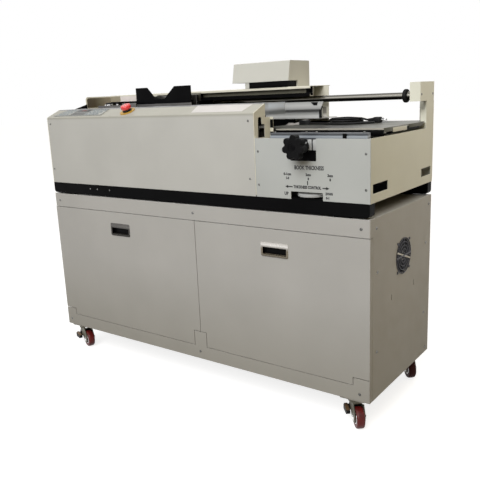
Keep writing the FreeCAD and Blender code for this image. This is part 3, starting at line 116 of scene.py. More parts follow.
# two tones out of 255 in patches, a roughness that wanders, a fine grain with its depth in mm, edges rounded
# by a width in mm, and shading in bands: from and to in metres, and the stops between them
def makeFinish(name, light, dark, patch=30, rough=(0.4, 0.5), grain=900, depth=0.03, metal=0.0,
               stretch=(1, 1, 1), coat=0.0, edge=0.0, shine=0.5, bands=(), across="Z"):
    finish = bpy.data.materials.new(name)
    finish.use_nodes = True
    tree = finish.node_tree
    place = addNode(tree, "TexCoord", {}).outputs["Object"]
    mapped = addNode(tree, "Mapping", {"Vector": place, "Scale": stretch}).outputs["Vector"]
    patches = addNode(tree, "TexNoise", {"Vector": mapped, "Scale": patch, "Detail": 5})
    colour = addRamp(tree, patches.outputs["Fac"], [(0.35, tone(dark)), (0.65, tone(light))])
    if bands:
        low, high, stops = bands
        split = addNode(tree, "SeparateXYZ", {0: place})
        level = addNode(tree, "MapRange", {"Value": split.outputs[across], "From Min": low, "From Max": high})
        strip = addRamp(tree, level.outputs["Result"], stops)
        blend = addNode(tree, "Mix", {"Factor": 1.0, "A": colour, "B": strip}, data_type="RGBA",
                        blend_type="MULTIPLY")
        colour = blend.outputs["Result"]
    smudge = addNode(tree, "TexNoise", {"Vector": mapped, "Scale": patch * 5, "Detail": 3})
    spread = addNode(tree, "MapRange", {"Value": smudge.outputs["Fac"], "From Min": 0.3, "From Max": 0.7,
                                        "To Min": rough[0], "To Max": rough[1]})
    fine = addNode(tree, "TexNoise", {"Vector": mapped, "Scale": grain, "Detail": 2})
    bump = addNode(tree, "Bump", {"Height": fine.outputs["Fac"], "Distance": depth / 1000, "Strength": 0.6})
    if edge:
        rounding = addNode(tree, "Bevel", {"Radius": edge / 1000}, samples=4)
        setInputs(tree, bump, {"Normal": rounding.outputs["Normal"]})
    setInputs(tree, tree.nodes["Principled BSDF"],
              {"Base Color": colour, "Metallic": metal, "Coat Weight": coat, "Specular IOR Level": shine,
               "Roughness": spread.outputs["Result"], "Normal": bump.outputs["Normal"]})
    return finish


# paints
coverCoat = {"patch": 5, "rough": (0.36, 0.46), "grain": 900, "depth": 0.05, "edge": 1.0, "shine": 0.15}
# the cabinet's paint carries painted shade: darker and warmer below 0.45 m height, darkest at 0.1 m
cabinetPaintShaded = makeFinish(
    "cabinet_paint", (181, 180, 177), (176, 175, 172), patch=4, rough=(0.42, 0.52), grain=700, depth=0.08,
    edge=1.2, shine=0.15, bands=(0.1, 0.45, [(0.0, (0.77, 0.755, 0.71)), (1.0, 1.0)]))
# the front cover's paint is darker and warmer from the foot of its slope up: painted shade on the sloped face
slopeFoot = at(0, 0, 911).z
coverPaintSlopeShaded = makeFinish(
    "cover_paint", (190, 190, 186), (185, 185, 181), **coverCoat,
    bands=(slopeFoot, slopeFoot + 0.008, [(0.0, 1.0), (1.0, (0.76, 0.75, 0.70))]))
panelPaint = makeFinish("panel_paint", (183, 186, 184), (178, 181, 179), **coverCoat)
hoodPaint = makeFinish("hood_paint", (196, 196, 189), (191, 191, 184), **coverCoat)
creamPaint = makeFinish("cream_paint", (216, 214, 200), (210, 208, 194), **coverCoat)
sidePaint = makeFinish("side_paint", (226, 226, 212), (221, 221, 207), **coverCoat)
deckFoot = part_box("deck_plate")[0].z
# the deck's end sheet is painted in bands of shade: dark at its foot, light in the middle, darker again at
# the top
deckEndShadeBands = (deckFoot, deckFoot + 0.04, [
    (0.0, (0.40, 0.40, 0.38)), (0.20, (0.26, 0.26, 0.25)), (0.30, (0.33, 0.33, 0.32)), (0.45, 0.80),
    (0.60, 1.0), (0.78, 1.0), (0.90, 0.80), (1.0, 0.50)])
deckEnd = makeFinish("deck_end", (210, 220, 236), (204, 214, 230), patch=4, grain=700, bands=deckEndShadeBands)
blackPaint = makeFinish(
    "black_paint", (12, 12, 13), (7, 7, 8), patch=9, rough=(0.4, 0.52), grain=800, depth=0.05, edge=1.2,
    shine=0.03)
clampPaint = makeFinish(
    "clamp_black", (11, 11, 12), (6, 6, 7), patch=14, rough=(0.32, 0.46), grain=500, edge=0.8, shine=0.04,
    depth=0.04)
# the guard sheet's paint carries painted shade in bands: darkest at its fold, lighter above and below it
sheetFoot = at(0, 0, 888).z
sheetPaintShadedBands = (sheetFoot, sheetFoot + 0.055, [
    (0.0, 0.90), (0.12, 1.0), (0.24, 0.58), (0.37, 0.22), (0.54, 0.26), (0.68, 0.52), (0.82, 0.64),
    (1.0, 0.50)])
sheetPaintShaded = makeFinish(
    "sheet_paint_shaded", (192, 194, 194), (186, 188, 188), patch=4, grain=700, edge=1.0, bands=sheetPaintShadedBands)
# olive-grey for the inside of the beam's channel: painted shade, a darkened copy of the beam's cream
channelShade = makeFinish(
    "channel_shade_sheet", (110, 108, 95), (98, 96, 84), patch=8, rough=(0.5, 0.6), grain=700, shine=0.3)

# metals
zincSteel = makeFinish(
    "zinc_steel", (161, 161, 160), (151, 151, 150), patch=22, rough=(0.3, 0.45), grain=300, metal=1.0,
    edge=0.8)
dullSteel = makeFinish(
    "dull_steel", (120, 120, 118), (92, 92, 90), patch=16, rough=(0.38, 0.55), grain=260, metal=1.0,
    edge=0.6, depth=0.04)
groundSteel = makeFinish(
    "ground_steel", (196, 194, 188), (160, 158, 152), patch=10, rough=(0.2, 0.34), grain=500, depth=0.02,
    metal=1.0, stretch=(0.06, 1, 1), edge=0.6)
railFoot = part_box("register_stop")[0].z - 0.0003
# the register rail's colour carries painted light and shade in bands: a lit band on its lower half, dark
# bands above it
railLightShadeBands = (railFoot, railFoot + 0.0165, [
    (0.0, (0.16, 0.17, 0.19)), (0.10, (0.20, 0.22, 0.25)), (0.14, (0.42, 0.43, 0.45)),
    (0.50, (0.38, 0.41, 0.44)), (0.54, (0.03, 0.03, 0.04)), (0.72, (0.03, 0.03, 0.04)),
    (0.75, (0.09, 0.10, 0.11)), (0.90, (0.08, 0.09, 0.10)), (0.93, (0.03, 0.03, 0.04)),
    (1.0, (0.10, 0.10, 0.11))])
railSteel = makeFinish(
    "rail_steel", (214, 219, 224), (196, 203, 210), patch=12, rough=(0.3, 0.42), grain=500, depth=0.02,
    stretch=(0.08, 1, 1), shine=0.8, bands=railLightShadeBands)
rodLow, rodHigh = (end.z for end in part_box("guide_rod"))
# the guide rod's colour is a painted reflection in bands: a bright line a little above its middle, dark below
# it and near its top
rodReflectionBands = (rodLow, rodHigh, [
    (0.0, 0.01), (0.34, (0.03, 0.03, 0.028)), (0.45, (0.14, 0.14, 0.13)), (0.54, (0.34, 0.33, 0.31)),
    (0.62, (0.62, 0.61, 0.58)), (0.70, (0.30, 0.29, 0.27)), (0.78, (0.09, 0.09, 0.08)),
    (0.88, (0.20, 0.19, 0.18)), (1.0, (0.40, 0.39, 0.36))])
rodChrome = makeFinish(
    "rod_chrome", (236, 234, 228), (226, 224, 218), patch=7, rough=(0.12, 0.2), depth=0.004, metal=1.0,
    stretch=(0.1, 1, 1), bands=rodReflectionBands)
brightChrome = makeFinish(
    "bright_chrome", (226, 226, 226), (208, 208, 208), rough=(0.07, 0.16), grain=500, depth=0.008,
    metal=1.0, edge=0.6)
plateLeft = at(349, 0, 0).x
# the table plates' colour carries painted reflection and shade along x: dark over the left half, light
# towards the right end
plateReflectionShadeBands = (plateLeft, plateLeft + 0.388, [
    (0.0, (0.40, 0.40, 0.38)), (0.20, (0.26, 0.26, 0.25)), (0.44, 0.15), (0.62, (0.30, 0.30, 0.28)),
    (0.80, (0.72, 0.72, 0.68)), (1.0, (0.95, 0.95, 0.92))])
plateSteel = makeFinish(
    "plate_steel", (134, 133, 127), (122, 121, 116), patch=9, rough=(0.34, 0.5), grain=420, metal=0.35,
    stretch=(0.2, 1, 1), edge=0.6, shine=0.15, across="X", bands=plateReflectionShadeBands)
edgeSteel = makeFinish(
    "edge_steel", (170, 167, 158), (160, 157, 148), patch=12, grain=500, depth=0.02, shine=0.2)
oliveSteel = makeFinish(
    "olive_steel", (84, 83, 70), (74, 73, 62), patch=12, rough=(0.45, 0.55), grain=500, depth=0.02,
    shine=0.2)
# the pulls' chrome in two copies with painted reflection: a lit one with a painted highlight band near the
# top for the right pull, a shaded one for the left
pullLow, pullHigh = (end.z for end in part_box("pull_right"))
pullLitChromeBands = (pullLow, pullHigh, [
    (0.0, (0.12, 0.11, 0.09)), (0.16, (0.22, 0.19, 0.14)), (0.52, (0.24, 0.21, 0.16)),
    (0.66, (0.45, 0.44, 0.42)), (0.80, 1.0), (0.92, (0.80, 0.79, 0.77)), (1.0, (0.50, 0.49, 0.47))])
pullLitChrome = makeFinish(
    "pull_lit_chrome", (232, 230, 228), (222, 220, 218), rough=(0.2, 0.3), grain=500, depth=0.008, metal=0.3,
    edge=0.6, bands=pullLitChromeBands)
pullShadedChromeBands = (pullLow, pullHigh, [
    (0.0, (0.10, 0.10, 0.09)), (0.30, (0.14, 0.13, 0.12)), (0.60, (0.16, 0.15, 0.14)), (0.78, 0.50),
    (0.90, 0.40), (1.0, (0.40, 0.39, 0.38))])
pullShadedChrome = makeFinish(
    "pull_shaded_chrome", (150, 148, 146), (138, 136, 134), rough=(0.24, 0.34), grain=500, depth=0.008, metal=0.2,
    edge=0.6, shine=0.3, bands=pullShadedChromeBands)
machinedBlock = makeFinish(
    "machined_block", (186, 185, 180), (158, 157, 152), patch=18, rough=(0.28, 0.42), grain=420,
    metal=1.0, edge=0.6)
castIron = makeFinish(
    "cast_iron", (70, 71, 74), (52, 53, 56), patch=24, rough=(0.45, 0.6), grain=260, depth=0.1, edge=1.0)
guardSteel = makeFinish(
    "guard_steel", (62, 62, 69), (42, 42, 47), grain=700, depth=0.01, metal=0.2, shine=0.2)
wheelSteel = makeFinish(
    "wheel_steel", (184, 186, 186), (168, 170, 170), patch=14, rough=(0.34, 0.46), grain=500, depth=0.02,
    metal=0.1, shine=0.3, edge=0.6)
forkZinc = makeFinish(
    "fork_zinc", (108, 106, 92), (84, 82, 71), patch=24, rough=(0.36, 0.5), grain=300, metal=0.35,
    edge=0.8, shine=0.3)
footSteel = makeFinish(
    "foot_steel", (104, 103, 102), (84, 83, 84), patch=20, rough=(0.5, 0.6), grain=700, depth=0.02,
    shine=0.2)

# plastics, rubber and glue
blackPlastic = makeFinish(
    "black_plastic", (26, 26, 27), (18, 18, 19), rough=(0.4, 0.55), grain=1500, edge=0.6, shine=0.16)
knobPlastic = makeFinish(
    "knob_plastic", (13, 13, 14), (8, 8, 9), patch=40, rough=(0.34, 0.48), grain=1600, edge=1.0,
    shine=0.08)
fanPlastic = makeFinish(
    "fan_plastic", (26, 26, 27), (18, 18, 19), rough=(0.4, 0.55), grain=1500, shine=0.16)
softRubber = makeFinish(
    "soft_rubber", (20, 20, 20), (13, 13, 13), patch=60, rough=(0.55, 0.7), grain=1200, depth=0.05,
    edge=1.0, shine=0.16)
redTread = makeFinish("red_tread", (98, 22, 19), (72, 15, 14), rough=(0.36, 0.5), shine=0.3, depth=0.04)
# a darker copy of the red tread for the rear wheels: painted shade, as they sit under the cabinet
rearShadedTread = makeFinish("rear_tread_shaded", (66, 28, 26), (46, 20, 19), rough=(0.5, 0.62), shine=0.1, depth=0.04)
wheelCore = makeFinish("wheel_core", (124, 44, 40), (92, 32, 30), rough=(0.4, 0.55), depth=0.05)
# a brown plate on the black pedal's top: a painted highlight
pedalGlint = makeFinish(
    "pedal_glint", (112, 86, 60), (80, 62, 44), patch=50, rough=(0.34, 0.5), grain=700, depth=0.04)
glareWhite = makeFinish("glare_white", (238, 236, 230), (228, 226, 220), grain=700, depth=0.01, shine=0.3)
yellowPlastic = makeFinish(
    "yellow_plastic", (190, 152, 62), (174, 136, 52), patch=40, rough=(0.36, 0.48), grain=1400, depth=0.02)
redPlastic = makeFinish(
    "red_plastic", (224, 54, 54), (204, 40, 40), patch=60, rough=(0.22, 0.34), grain=1200, depth=0.01,
    coat=0.3)
cordSheath = makeFinish(
    "cord_sheath", (20, 20, 20), (13, 13, 14), patch=40, rough=(0.42, 0.55), shine=0.16)
glueAmber = makeFinish(
    "glue_amber", (214, 188, 128), (196, 166, 104), patch=20, rough=(0.1, 0.2), grain=120, depth=0.2,
    coat=0.6)

# films, labels and ink
panelFilm = makeFinish(
    "panel_film", (158, 160, 156), (150, 152, 148), patch=26, rough=(0.34, 0.46), grain=1800, depth=0.01)
keyFilm = makeFinish(
    "key_film", (122, 130, 134), (110, 119, 124), patch=40, rough=(0.36, 0.46), grain=1600, depth=0.02)
displayGlass = makeFinish(
    "display_window", (52, 53, 54), (42, 43, 44), patch=20, rough=(0.3, 0.4), grain=1500, depth=0.004)
displayDigits = makeFinish(
    "display_digits", (150, 60, 50), (130, 46, 38), patch=60, rough=(0.3, 0.4), depth=0.01)
darkFilm = makeFinish(
    "dark_film", (86, 87, 86), (74, 75, 74), patch=26, rough=(0.36, 0.46), grain=1800, depth=0.01)
whiteLabel = makeFinish(
    "blank_label", (198, 195, 193), (190, 187, 185), patch=12, rough=(0.3, 0.4), depth=0.01)
brightLabel = makeFinish("bright_label", (232, 224, 222), (222, 216, 212), rough=(0.3, 0.4), depth=0.01)
printInk = makeFinish("print_ink", (34, 34, 36), (26, 26, 28), patch=60, rough=(0.45, 0.55), depth=0.01)

# shaded plates at the window of the rear bracket and at the beam's left end
windowFoot = at(0, 0, 878).z
windowFaceBands = (windowFoot, windowFoot + 0.044, [
    (0.0, (0.7, 0.7, 0.66)), (0.22, 1.0), (0.42, (0.66, 0.65, 0.62)), (0.5, (0.34, 0.33, 0.31)),
    (1.0, (0.18, 0.17, 0.15))])
windowFace = makeFinish(
    "window_face", (246, 244, 238), (240, 238, 232), grain=700, depth=0.01, bands=windowFaceBands)
endFoot = at(0, -34, 0).y
endShadeBands = (endFoot, endFoot + 0.14, [
    (0.0, (0.13, 0.11, 0.08)), (0.30, (0.17, 0.14, 0.09)), (0.55, (0.36, 0.35, 0.30)),
    (0.80, (0.62, 0.58, 0.54)), (1.0, (0.66, 0.64, 0.60))])
endShade = makeFinish(
    "end_shade", (190, 184, 166), (182, 176, 158), depth=0.02, across="Y", bands=endShadeBands)
print("finishes made")

nodeFinishes = [
    (cabinetPaintShaded, ("cabinet_shell", "cabinet_top", "cabinet_floor", "front_frame", "door_left",
                    "door_right")),
    (coverPaintSlopeShaded, ("front_cover",)),
    (panelPaint, ("front_panel",)),
    (hoodPaint, ("hood",)),
    (creamPaint, ("end_cover", "cheek_plate", "rear_cover", "beam", "rear_bracket")),
    (sidePaint, ("side_panel",)),
    (sheetPaintShaded, ("guard_sheet",)),
    (blackPaint, ("rail_front", "rail_rear", "bed_plate", "table_frame", "register_stop")),
    (clampPaint, ("carriage", "front_jaw")),
    (zincSteel, ("deck_plate",)),
    (groundSteel, ("glue_roller_1", "glue_roller_2", "mill_disc")),
    (machinedBlock, ("glue_tank", "nip_nut")),
    (plateSteel, ("nip_front", "nip_rear")),
    (railSteel, ("register_rail",)),
    (rodChrome, ("guide_rod",)),
    (castIron, ("mill_motor",)),
    (wheelSteel, ("lift_wheel",)),
    (pullShadedChrome, ("pull_left",)),
    (pullLitChrome, ("pull_right",)),
    (guardSteel, ("fan_guard", "vent_guard")),
    (fanPlastic, ("fan_frame", "fan_rotor")),
    (softRubber, ("rod_bumper",)),
    (knobPlastic, ("star_knob",)),
    (panelFilm, ("control_panel",)),
    (yellowPlastic, ("stop_base",)),
    (redPlastic, ("stop_button",)),
    (blackPlastic, ("cord_connector", "cord_plug", "castor_pedal_fl", "castor_pedal_fr")),
    (forkZinc, ["castor_fork_" + corner for corner in corners]),
]
for finish, names in nodeFinishes:
    for name in names:
        node = frame["nodes"][name]
        if not node.material_slots:
            node.data.materials.append(finish)
        for holder in node.material_slots:
            holder.material = finish
print("node finishes assigned")


# modelling steps shared by the pieces
def takeMesh(name, form):
    mesh = bpy.data.meshes.new(name)
    form.to_mesh(mesh)
    form.free()
    return mesh


def finishPiece(name, form, finish, body, angle=35):
    bmesh.ops.remove_doubles(form, verts=form.verts, dist=0.000002)
    bmesh.ops.recalc_face_normals(form, faces=form.faces)
    mesh = takeMesh(name, form)
    piece = linkObject(name, mesh)
    mesh.materials.append(finish)
    for face in mesh.polygons:
        face.use_smooth = True
    mesh.set_sharp_from_angle(angle=math.radians(angle))
    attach(piece, body)
    return piece


def aim(centre, direction, spin=0.0):
    turn = Vector(direction).to_track_quat("Z", "Y").to_matrix().to_4x4()
    return Matrix.Translation(centre) @ turn @ Matrix.Rotation(math.radians(spin), 4, "Z")


def bevelEdges(form, edges, width, steps=2):
    bmesh.ops.bevel(form, geom=edges, offset=width / 1000, segments=steps, affect="EDGES", profile=0.5,
                    material=-1)


def addBlock(form, low, high, rounding=0.0, steps=2):
    made = bmesh.ops.create_cube(form, size=1.0)["verts"]
    bmesh.ops.scale(form, vec=high - low, verts=made)
    bmesh.ops.translate(form, vec=(low + high) / 2, verts=made)
    if rounding:
        bevelEdges(form, list({e for v in made for e in v.link_edges}), rounding, steps)


# outline in mm in the plate's own plane, depth in mm along its normal
def addPlate(form, outline, depth, place, rounding=0.0):
    face = form.faces.new([form.verts.new(place @ Vector((u / 1000, v / 1000, 0))) for u, v in outline])
    grown = bmesh.ops.extrude_face_region(form, geom=[face])["geom"]
    moved = [g for g in grown if isinstance(g, bmesh.types.BMVert)]
    normal = (place.to_3x3() @ Vector((0, 0, 1))).normalized()
    bmesh.ops.translate(form, vec=normal * depth / 1000, verts=moved)
    if rounding:
        touched = {e for v in moved for e in v.link_edges}
        bevelEdges(form, [e for e in touched if e.verts[0] in moved and e.verts[1] in moved], rounding)


# profile of (radius, height) in mm, turned about the place's own z
def addTurned(form, profile, place, steps=32):
    start = [form.verts.new(place @ Vector((r / 1000, 0, h / 1000))) for r, h in profile]
    edges = [form.edges.new(pair) for pair in zip(start, start[1:])]
    axis = (place.to_3x3() @ Vector((0, 0, 1))).normalized()
    bmesh.ops.spin(form, geom=start + edges, cent=place.translation, axis=axis, angle=math.tau, steps=steps,
                   use_merge=True)


def closed(profile):
    return profile + profile[:1]


# a ring's section from its lower half
def mirrored(half):
    return closed(half + [(r, -h) for r, h in half[::-1]])


def polar(reach, angle):
    return reach * math.cos(math.radians(angle)), reach * math.sin(math.radians(angle))


# each block: low corner, high corner, rounding and its steps, in mm
def blockPiece(name, finish, body, *blocks):
    form = bmesh.new()
    for low, high, *rounding in blocks:
        addBlock(form, at(*low), at(*high), *rounding)
    return finishPiece(name, form, finish, body)


def platePiece(name, finish, body, outline, depth, place, rounding=0.0):
    form = bmesh.new()
    addPlate(form, outline, depth, place, rounding)
    return finishPiece(name, form, finish, body)


def turnedPiece(name, finish, body, profile, steps, *places, angle=35):
    form = bmesh.new()
    for place in places:
        addTurned(form, profile, place, steps)
    return finishPiece(name, form, finish, body, angle)


def stampAll(name, template, places, finish, body):
    form = bmesh.new()
    for place in places:
        before = len(form.verts)
        form.from_mesh(template)
        form.verts.ensure_lookup_table()
        bmesh.ops.transform(form, matrix=place, verts=form.verts[before:])
    return finishPiece(name, form, finish, body)


# pan head with a cross recess
def screwForm(radius, height):
    form = bmesh.new()
    profile = [(0.0, 1.0), (0.18, 1.0), (0.34, 0.98), (0.5, 0.94), (0.62, 0.88), (0.84, 0.66), (0.97, 0.34),
               (1.0, 0.0)]
    addTurned(form, [(r * radius, h * height) for r, h in profile], Matrix.Identity(4), 24)
    bmesh.ops.remove_doubles(form, verts=form.verts, dist=0.00001)
    for vert in form.verts:
        reach = Vector((vert.co.x, vert.co.y)).length * 1000 / radius
        if reach < 0.55 and min(abs(vert.co.x), abs(vert.co.y)) < 0.00002:
            vert.co.z -= height * 0.45 / 1000
    return takeMesh("screw_form", form)


# hexagon head on a washer, with its corners turned down
def hexForm(across, height):
    form = bmesh.new()
    addTurned(form, [(across * 0.72, 0), (across * 0.72, 1.0), (across * 0.5, 1.0)], Matrix.Identity(4), 24)
    reach = across * 0.577 / 1000
    head = bmesh.ops.create_cone(form, cap_ends=True, segments=6, radius1=reach, radius2=reach,
                                 depth=height / 1000)["verts"]
    bmesh.ops.translate(form, vec=(0, 0, (1.0 + height / 2) / 1000), verts=head)
    top = [e for e in form.edges if all(v in head and v.co.z > (0.9 + height) / 1000 for v in e.verts)]
    bevelEdges(form, top, height * 0.12)
    return takeMesh("hex_form", form)


# generic words printed on a face of the base: height in mm
def printWords(name, words, height, place, finish, weight=0.0, narrow=1.0):
    curve = bpy.data.curves.new(name, "FONT")
    curve.body = words
    curve.size = height / 1000 * 1.38
    curve.align_x = "CENTER"
    curve.align_y = "CENTER"
    curve.extrude = 0.00006  # half of the ink's thickness
    curve.offset = weight / 1000
    curve.resolution_u = 2
    holder = linkObject(name + "_form", curve)
    bpy.context.view_layer.update()
    mesh = bpy.data.meshes.new_from_object(holder)
    bpy.data.objects.remove(holder)
    mesh.transform(place @ Matrix.Diagonal((narrow, 1, 1, 1)))
    mesh.materials.clear()
    mesh.materials.append(finish)
    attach(linkObject(name, mesh), "base")


# plane that faces the front: u to the right, v up
def onFront(x, z, proud=0.0, y=-halfDepth):
    return Matrix.Translation(at(x, y - proud, z)) @ Matrix.Rotation(math.pi / 2, 4, "X")


# plane that faces the right side: u to the back, v up
def onSide(x):
    return Matrix.Translation(at(x, 0, 0)) @ Matrix(((0, 0, 1, 0), (1, 0, 0, 0), (0, 1, 0, 0), (0, 0, 0, 1)))


# screws of the cabinet and the covers: (x, z) on the front and the back, (y, z) on the sides
screwLook = {
    "large": (5.0, 2.4), "small": (4.0, 2.0),
    "cabinetFront": [(-718, 26), (41, 30), (707, 25), (-711, 570), (44, 570), (712, 570)],
    "cabinetSide": [(-216, 567), (231, 570), (-207, 426), (-209, 161), (210, 432), (204, 166), (226, 20)],
    "coverFront": [(308, 897), (307.5, 706), (-721, 895), (-726, 706),
                   (344, 798), (343, 689), (727.5, 797), (728, 690)],
    "coverLeft": [(-235, 672), (235, 672), (235, 975), (-235, 895)], "leftFace": -740,
    "headBox": [(139, 957, 35), (246, 957, 10)],
    "coverBack": [(x, z) for x in (-700, -360, 0, 320) for z in (672, 978)] + [(520, 672), (718, 672)],
    "backFace": 258,
}
stampAll("cabinet_screws", screwForm(*screwLook["large"]),
         [onFront(x, z) for x, z in screwLook["cabinetFront"]]
         + [aim(at(side * sideFace, y, z), (side, 0, 0), 20) for side in (1, -1)
            for y, z in screwLook["cabinetSide"]], dullSteel, "base")
stampAll("cover_screws", screwForm(*screwLook["small"]),
         [onFront(x, z) for x, z in screwLook["coverFront"]]
         + [aim(at(sideFace, y, z), (1, 0, 0), spin) for y, z, spin in screwLook["headBox"]]
         + [aim(at(x, screwLook["backFace"], z), (0, 1, 0), 15) for x, z in screwLook["coverBack"]]
         + [aim(at(screwLook["leftFace"], y, z), (-1, 0, 0), 15) for y, z in screwLook["coverLeft"]],
         dullSteel, "base")
print("screws set")

# fan and grilles: every third ring of a guard is its own, the rest are wires
fanLook = {"centre": (2, 431), "pitch": 4.13, "rings": range(3, 15), "wire": 0.55, "wireRise": 1.2,
           "glare": (0.2, 59, 2.6), "glareFace": 744.2, "lean": -20.0, "hubLabel": 17.0, "hubFace": 739}
form = bmesh.new()
for side in (1, -1):
    for ring in fanLook["rings"]:
        if ring % 3:
            section = [polar(fanLook["wire"], angle) for angle in range(0, 361, 60)]
            wire = [(fanLook["pitch"] * ring + u, fanLook["wireRise"] + v) for u, v in section]
            addTurned(form, wire, aim(at(side * sideFace, *fanLook["centre"]), (side, 0, 0)), 60)
finishPiece("guard_wires", form, guardSteel, "base")
# a white bar leaning across each fan guard: a painted highlight
form = bmesh.new()
glareHalf = Vector(fanLook["glare"]) / 1000
addBlock(form, -glareHalf, glareHalf)
lean = Matrix.Rotation(math.radians(fanLook["lean"]), 4, "X")
stampAll("fan_glare", takeMesh("glare_form", form),
         [Matrix.Translation(at(side * fanLook["glareFace"], *fanLook["centre"])) @ lean for side in (1, -1)],
         glareWhite, "base")
turnedPiece("fan_hub_disc", whiteLabel, "fan",
            [(0, 0.4), (fanLook["hubLabel"], 0.4), (fanLook["hubLabel"], 0)], 40,
            aim(at(fanLook["hubFace"], *fanLook["centre"]), (1, 0, 0)))

# door pulls: black sheets in the recess as painted shade, and a rounded lip over the grip; the lip's line is
# (y, height over its foot)
pullLook = {
    "left": (-347, pullShadedChrome), "right": (396, pullLitChrome), "lipHalf": 48.4, "lipFoot": 477.0,
    "lipLine": [(-260.2, 0), (-261.2, 1.2), (-261.45, 4), (-261.45, 9), (-261.2, 12.4), (-260.2, 13.6),
                (-257.0, 13.6), (-257.0, 0)],
}
for side in ("left", "right"):
    x, finish = pullLook[side]
    blockPiece("pull_recess_shade_" + side, clampPaint, side + "_door",
               ((x - 46.5, -248.9, 452.5), (x + 46.5, -248.5, 488.5)),
               ((x - 46.9, -260.4, 453.0), (x - 46.5, -249, 476.5)))
    platePiece("pull_lip_" + side, finish, side + "_door",
               [(y, pullLook["lipFoot"] + rise) for y, rise in pullLook["lipLine"]], pullLook["lipHalf"] * 2,
               onSide(x - pullLook["lipHalf"]))

# castors: sections are (radius, distance from the wheel's middle), of the tread and the core only half
castorLook = {
    "tread": [(20.0, -12.0), (22.0, -12.4), (29.5, -13.5), (32.5, -13.2), (34.8, -11.2), (35.8, -8.0),
              (36.0, -4.0)],
    "core": [(4.05, -14.0), (8.0, -14.0), (9.2, -13.0), (10.0, -10.6), (16.0, -10.2), (17.0, -12.2),
             (19.9, -12.4)],
    "rim": [(17.2, 12.3), (18.0, 13.3), (19.4, 13.3), (20.2, 12.3)],
    "race": [(25.0, -0.5), (28.6, -1.4), (29.4, -3.0), (28.6, -4.6), (28.1, -5.2)], "raceTop": -4.3,
    "pad": [(-45.5, 47.0), (-7.0, 41.0), (-7.0, 44.6), (-16.0, 46.6), (-38.0, 51.4), (-45.5, 51.4)],
    "padWidth": 12.0, "padSide": -21.0, "nutSize": (13.0, 5.0), "nutSeat": 18.9,
    "boltSize": (10.0, 4.0), "boltSpots": [(-38, -30), (-38, 30), (38, -30), (38, 30)], "boltSeat": -4.0,
}
nutForm = hexForm(*castorLook["nutSize"])
joints = {joint["name"]: joint for joint in frame["joints"]}
for corner in corners:
    wheel = "wheel_" + corner
    castor = "castor_" + corner
    centre = Vector(joints[wheel + "_roll"]["pos_m"])
    along = Vector(joints[wheel + "_roll"]["axis"])
    stem = Vector(joints[castor + "_swivel"]["pos_m"])
    nutReach = along * castorLook["nutSeat"] / 1000
    tread = turnedPiece("tread_" + corner, redTread if corner[0] == "f" else rearShadedTread, wheel,
                        mirrored(castorLook["tread"]), 64, aim(centre, along))
    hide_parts("castor_wheel_" + corner)
    turnedPiece("wheel_core_" + corner, wheelCore, wheel, mirrored(castorLook["core"]), 64,
                aim(centre, along))
    turnedPiece("wheel_rim_" + corner, brightChrome, wheel, closed(castorLook["rim"]), 48, aim(centre, along),
                aim(centre, -along))
    stampAll("axle_nuts_" + corner, nutForm, [aim(centre + nutReach, along), aim(centre - nutReach, -along)],
             brightChrome, castor)
    if corner[0] == "f":
        ahead = (centre - stem).xy.to_3d().normalized()
        turn = Matrix((ahead, along, (0, 0, 1))).transposed().to_4x4()
        foot = Matrix.Translation((stem.x, stem.y, 0)) @ turn
        foot = foot @ Matrix.Translation((0, castorLook["padSide"] / 1000, 0))
        # brown plate on the pedal's top, a painted highlight
        platePiece("pedal_glint_" + corner, pedalGlint, "pedal_" + corner, castorLook["pad"],
                   castorLook["padWidth"], foot @ Matrix.Rotation(math.pi / 2, 4, "X"), 0.8)
    raceTop = Vector((stem.x, stem.y, cabinetFoot + castorLook["raceTop"] / 1000))
    turnedPiece("race_cup_" + corner, brightChrome, castor, castorLook["race"], 48,
                Matrix.Translation(raceTop), angle=60)
    boltSeat = Vector((stem.x, stem.y, cabinetFoot + castorLook["boltSeat"] / 1000))
    stampAll("plate_bolts_" + corner, hexForm(*castorLook["boltSize"]),
             [Matrix.Translation(boltSeat + Vector((u, v, 0)) / 1000) @ Matrix.Rotation(math.pi, 4, "X")
              for u, v in castorLook["boltSpots"]], brightChrome, "base")
print("castors dressed")

# sloped cover: its front edge (y, z) and how far it rises over its run
slopeLook = {"edge": (-260, 922), "rise": 29, "run": 67}
slopeTurn = math.atan2(slopeLook["rise"], slopeLook["run"])


# plane on the sloped cover: u along the machine, v up the slope
def onSlope(x, run, proud=0.0):
    y = slopeLook["edge"][0] + run * math.cos(slopeTurn) - proud * math.sin(slopeTurn)
    z = slopeLook["edge"][1] + run * math.sin(slopeTurn) + proud * math.cos(slopeTurn)
    return Matrix.Translation(at(x, y, z)) @ Matrix.Rotation(slopeTurn, 4, "X")


# stop button: sections are (radius, height over the slope)
stopLook = {
    "spot": (-287.0, 39.0), "headTop": 27.02, "arrowBand": (8.5, 10.5), "arrowTip": 9.5, "barb": (6.6, 12.4),
    "collar": [(14.6, 2.6), (17.5, 2.6), (18.0, 3.2), (18.0, 5.6), (16.8, 6.4), (16.4, 8.4), (15.6, 9.0),
               (14.6, 9.0)],
    "ring": [(19.0, 2.5), (29.3, 2.5), (29.3, 2.72), (19.0, 2.72)],
}
turnedPiece("stop_collar", blackPlastic, "base", stopLook["collar"], 48, onSlope(*stopLook["spot"]))
form = bmesh.new()
inner, outer = stopLook["arrowBand"]
sweep = range(20, 81, 12)
arc = [polar(inner, angle) for angle in sweep] + [polar(outer, angle) for angle in sweep[::-1]]
barb = [polar(stopLook["arrowTip"], 98)] + [polar(reach, 80) for reach in stopLook["barb"]]
for turn in (0, 120, 240):
    spot = onSlope(*stopLook["spot"], stopLook["headTop"]) @ Matrix.Rotation(math.radians(turn), 4, "Z")
    addPlate(form, arc, 0.25, spot)
    addPlate(form, barb, 0.25, spot)
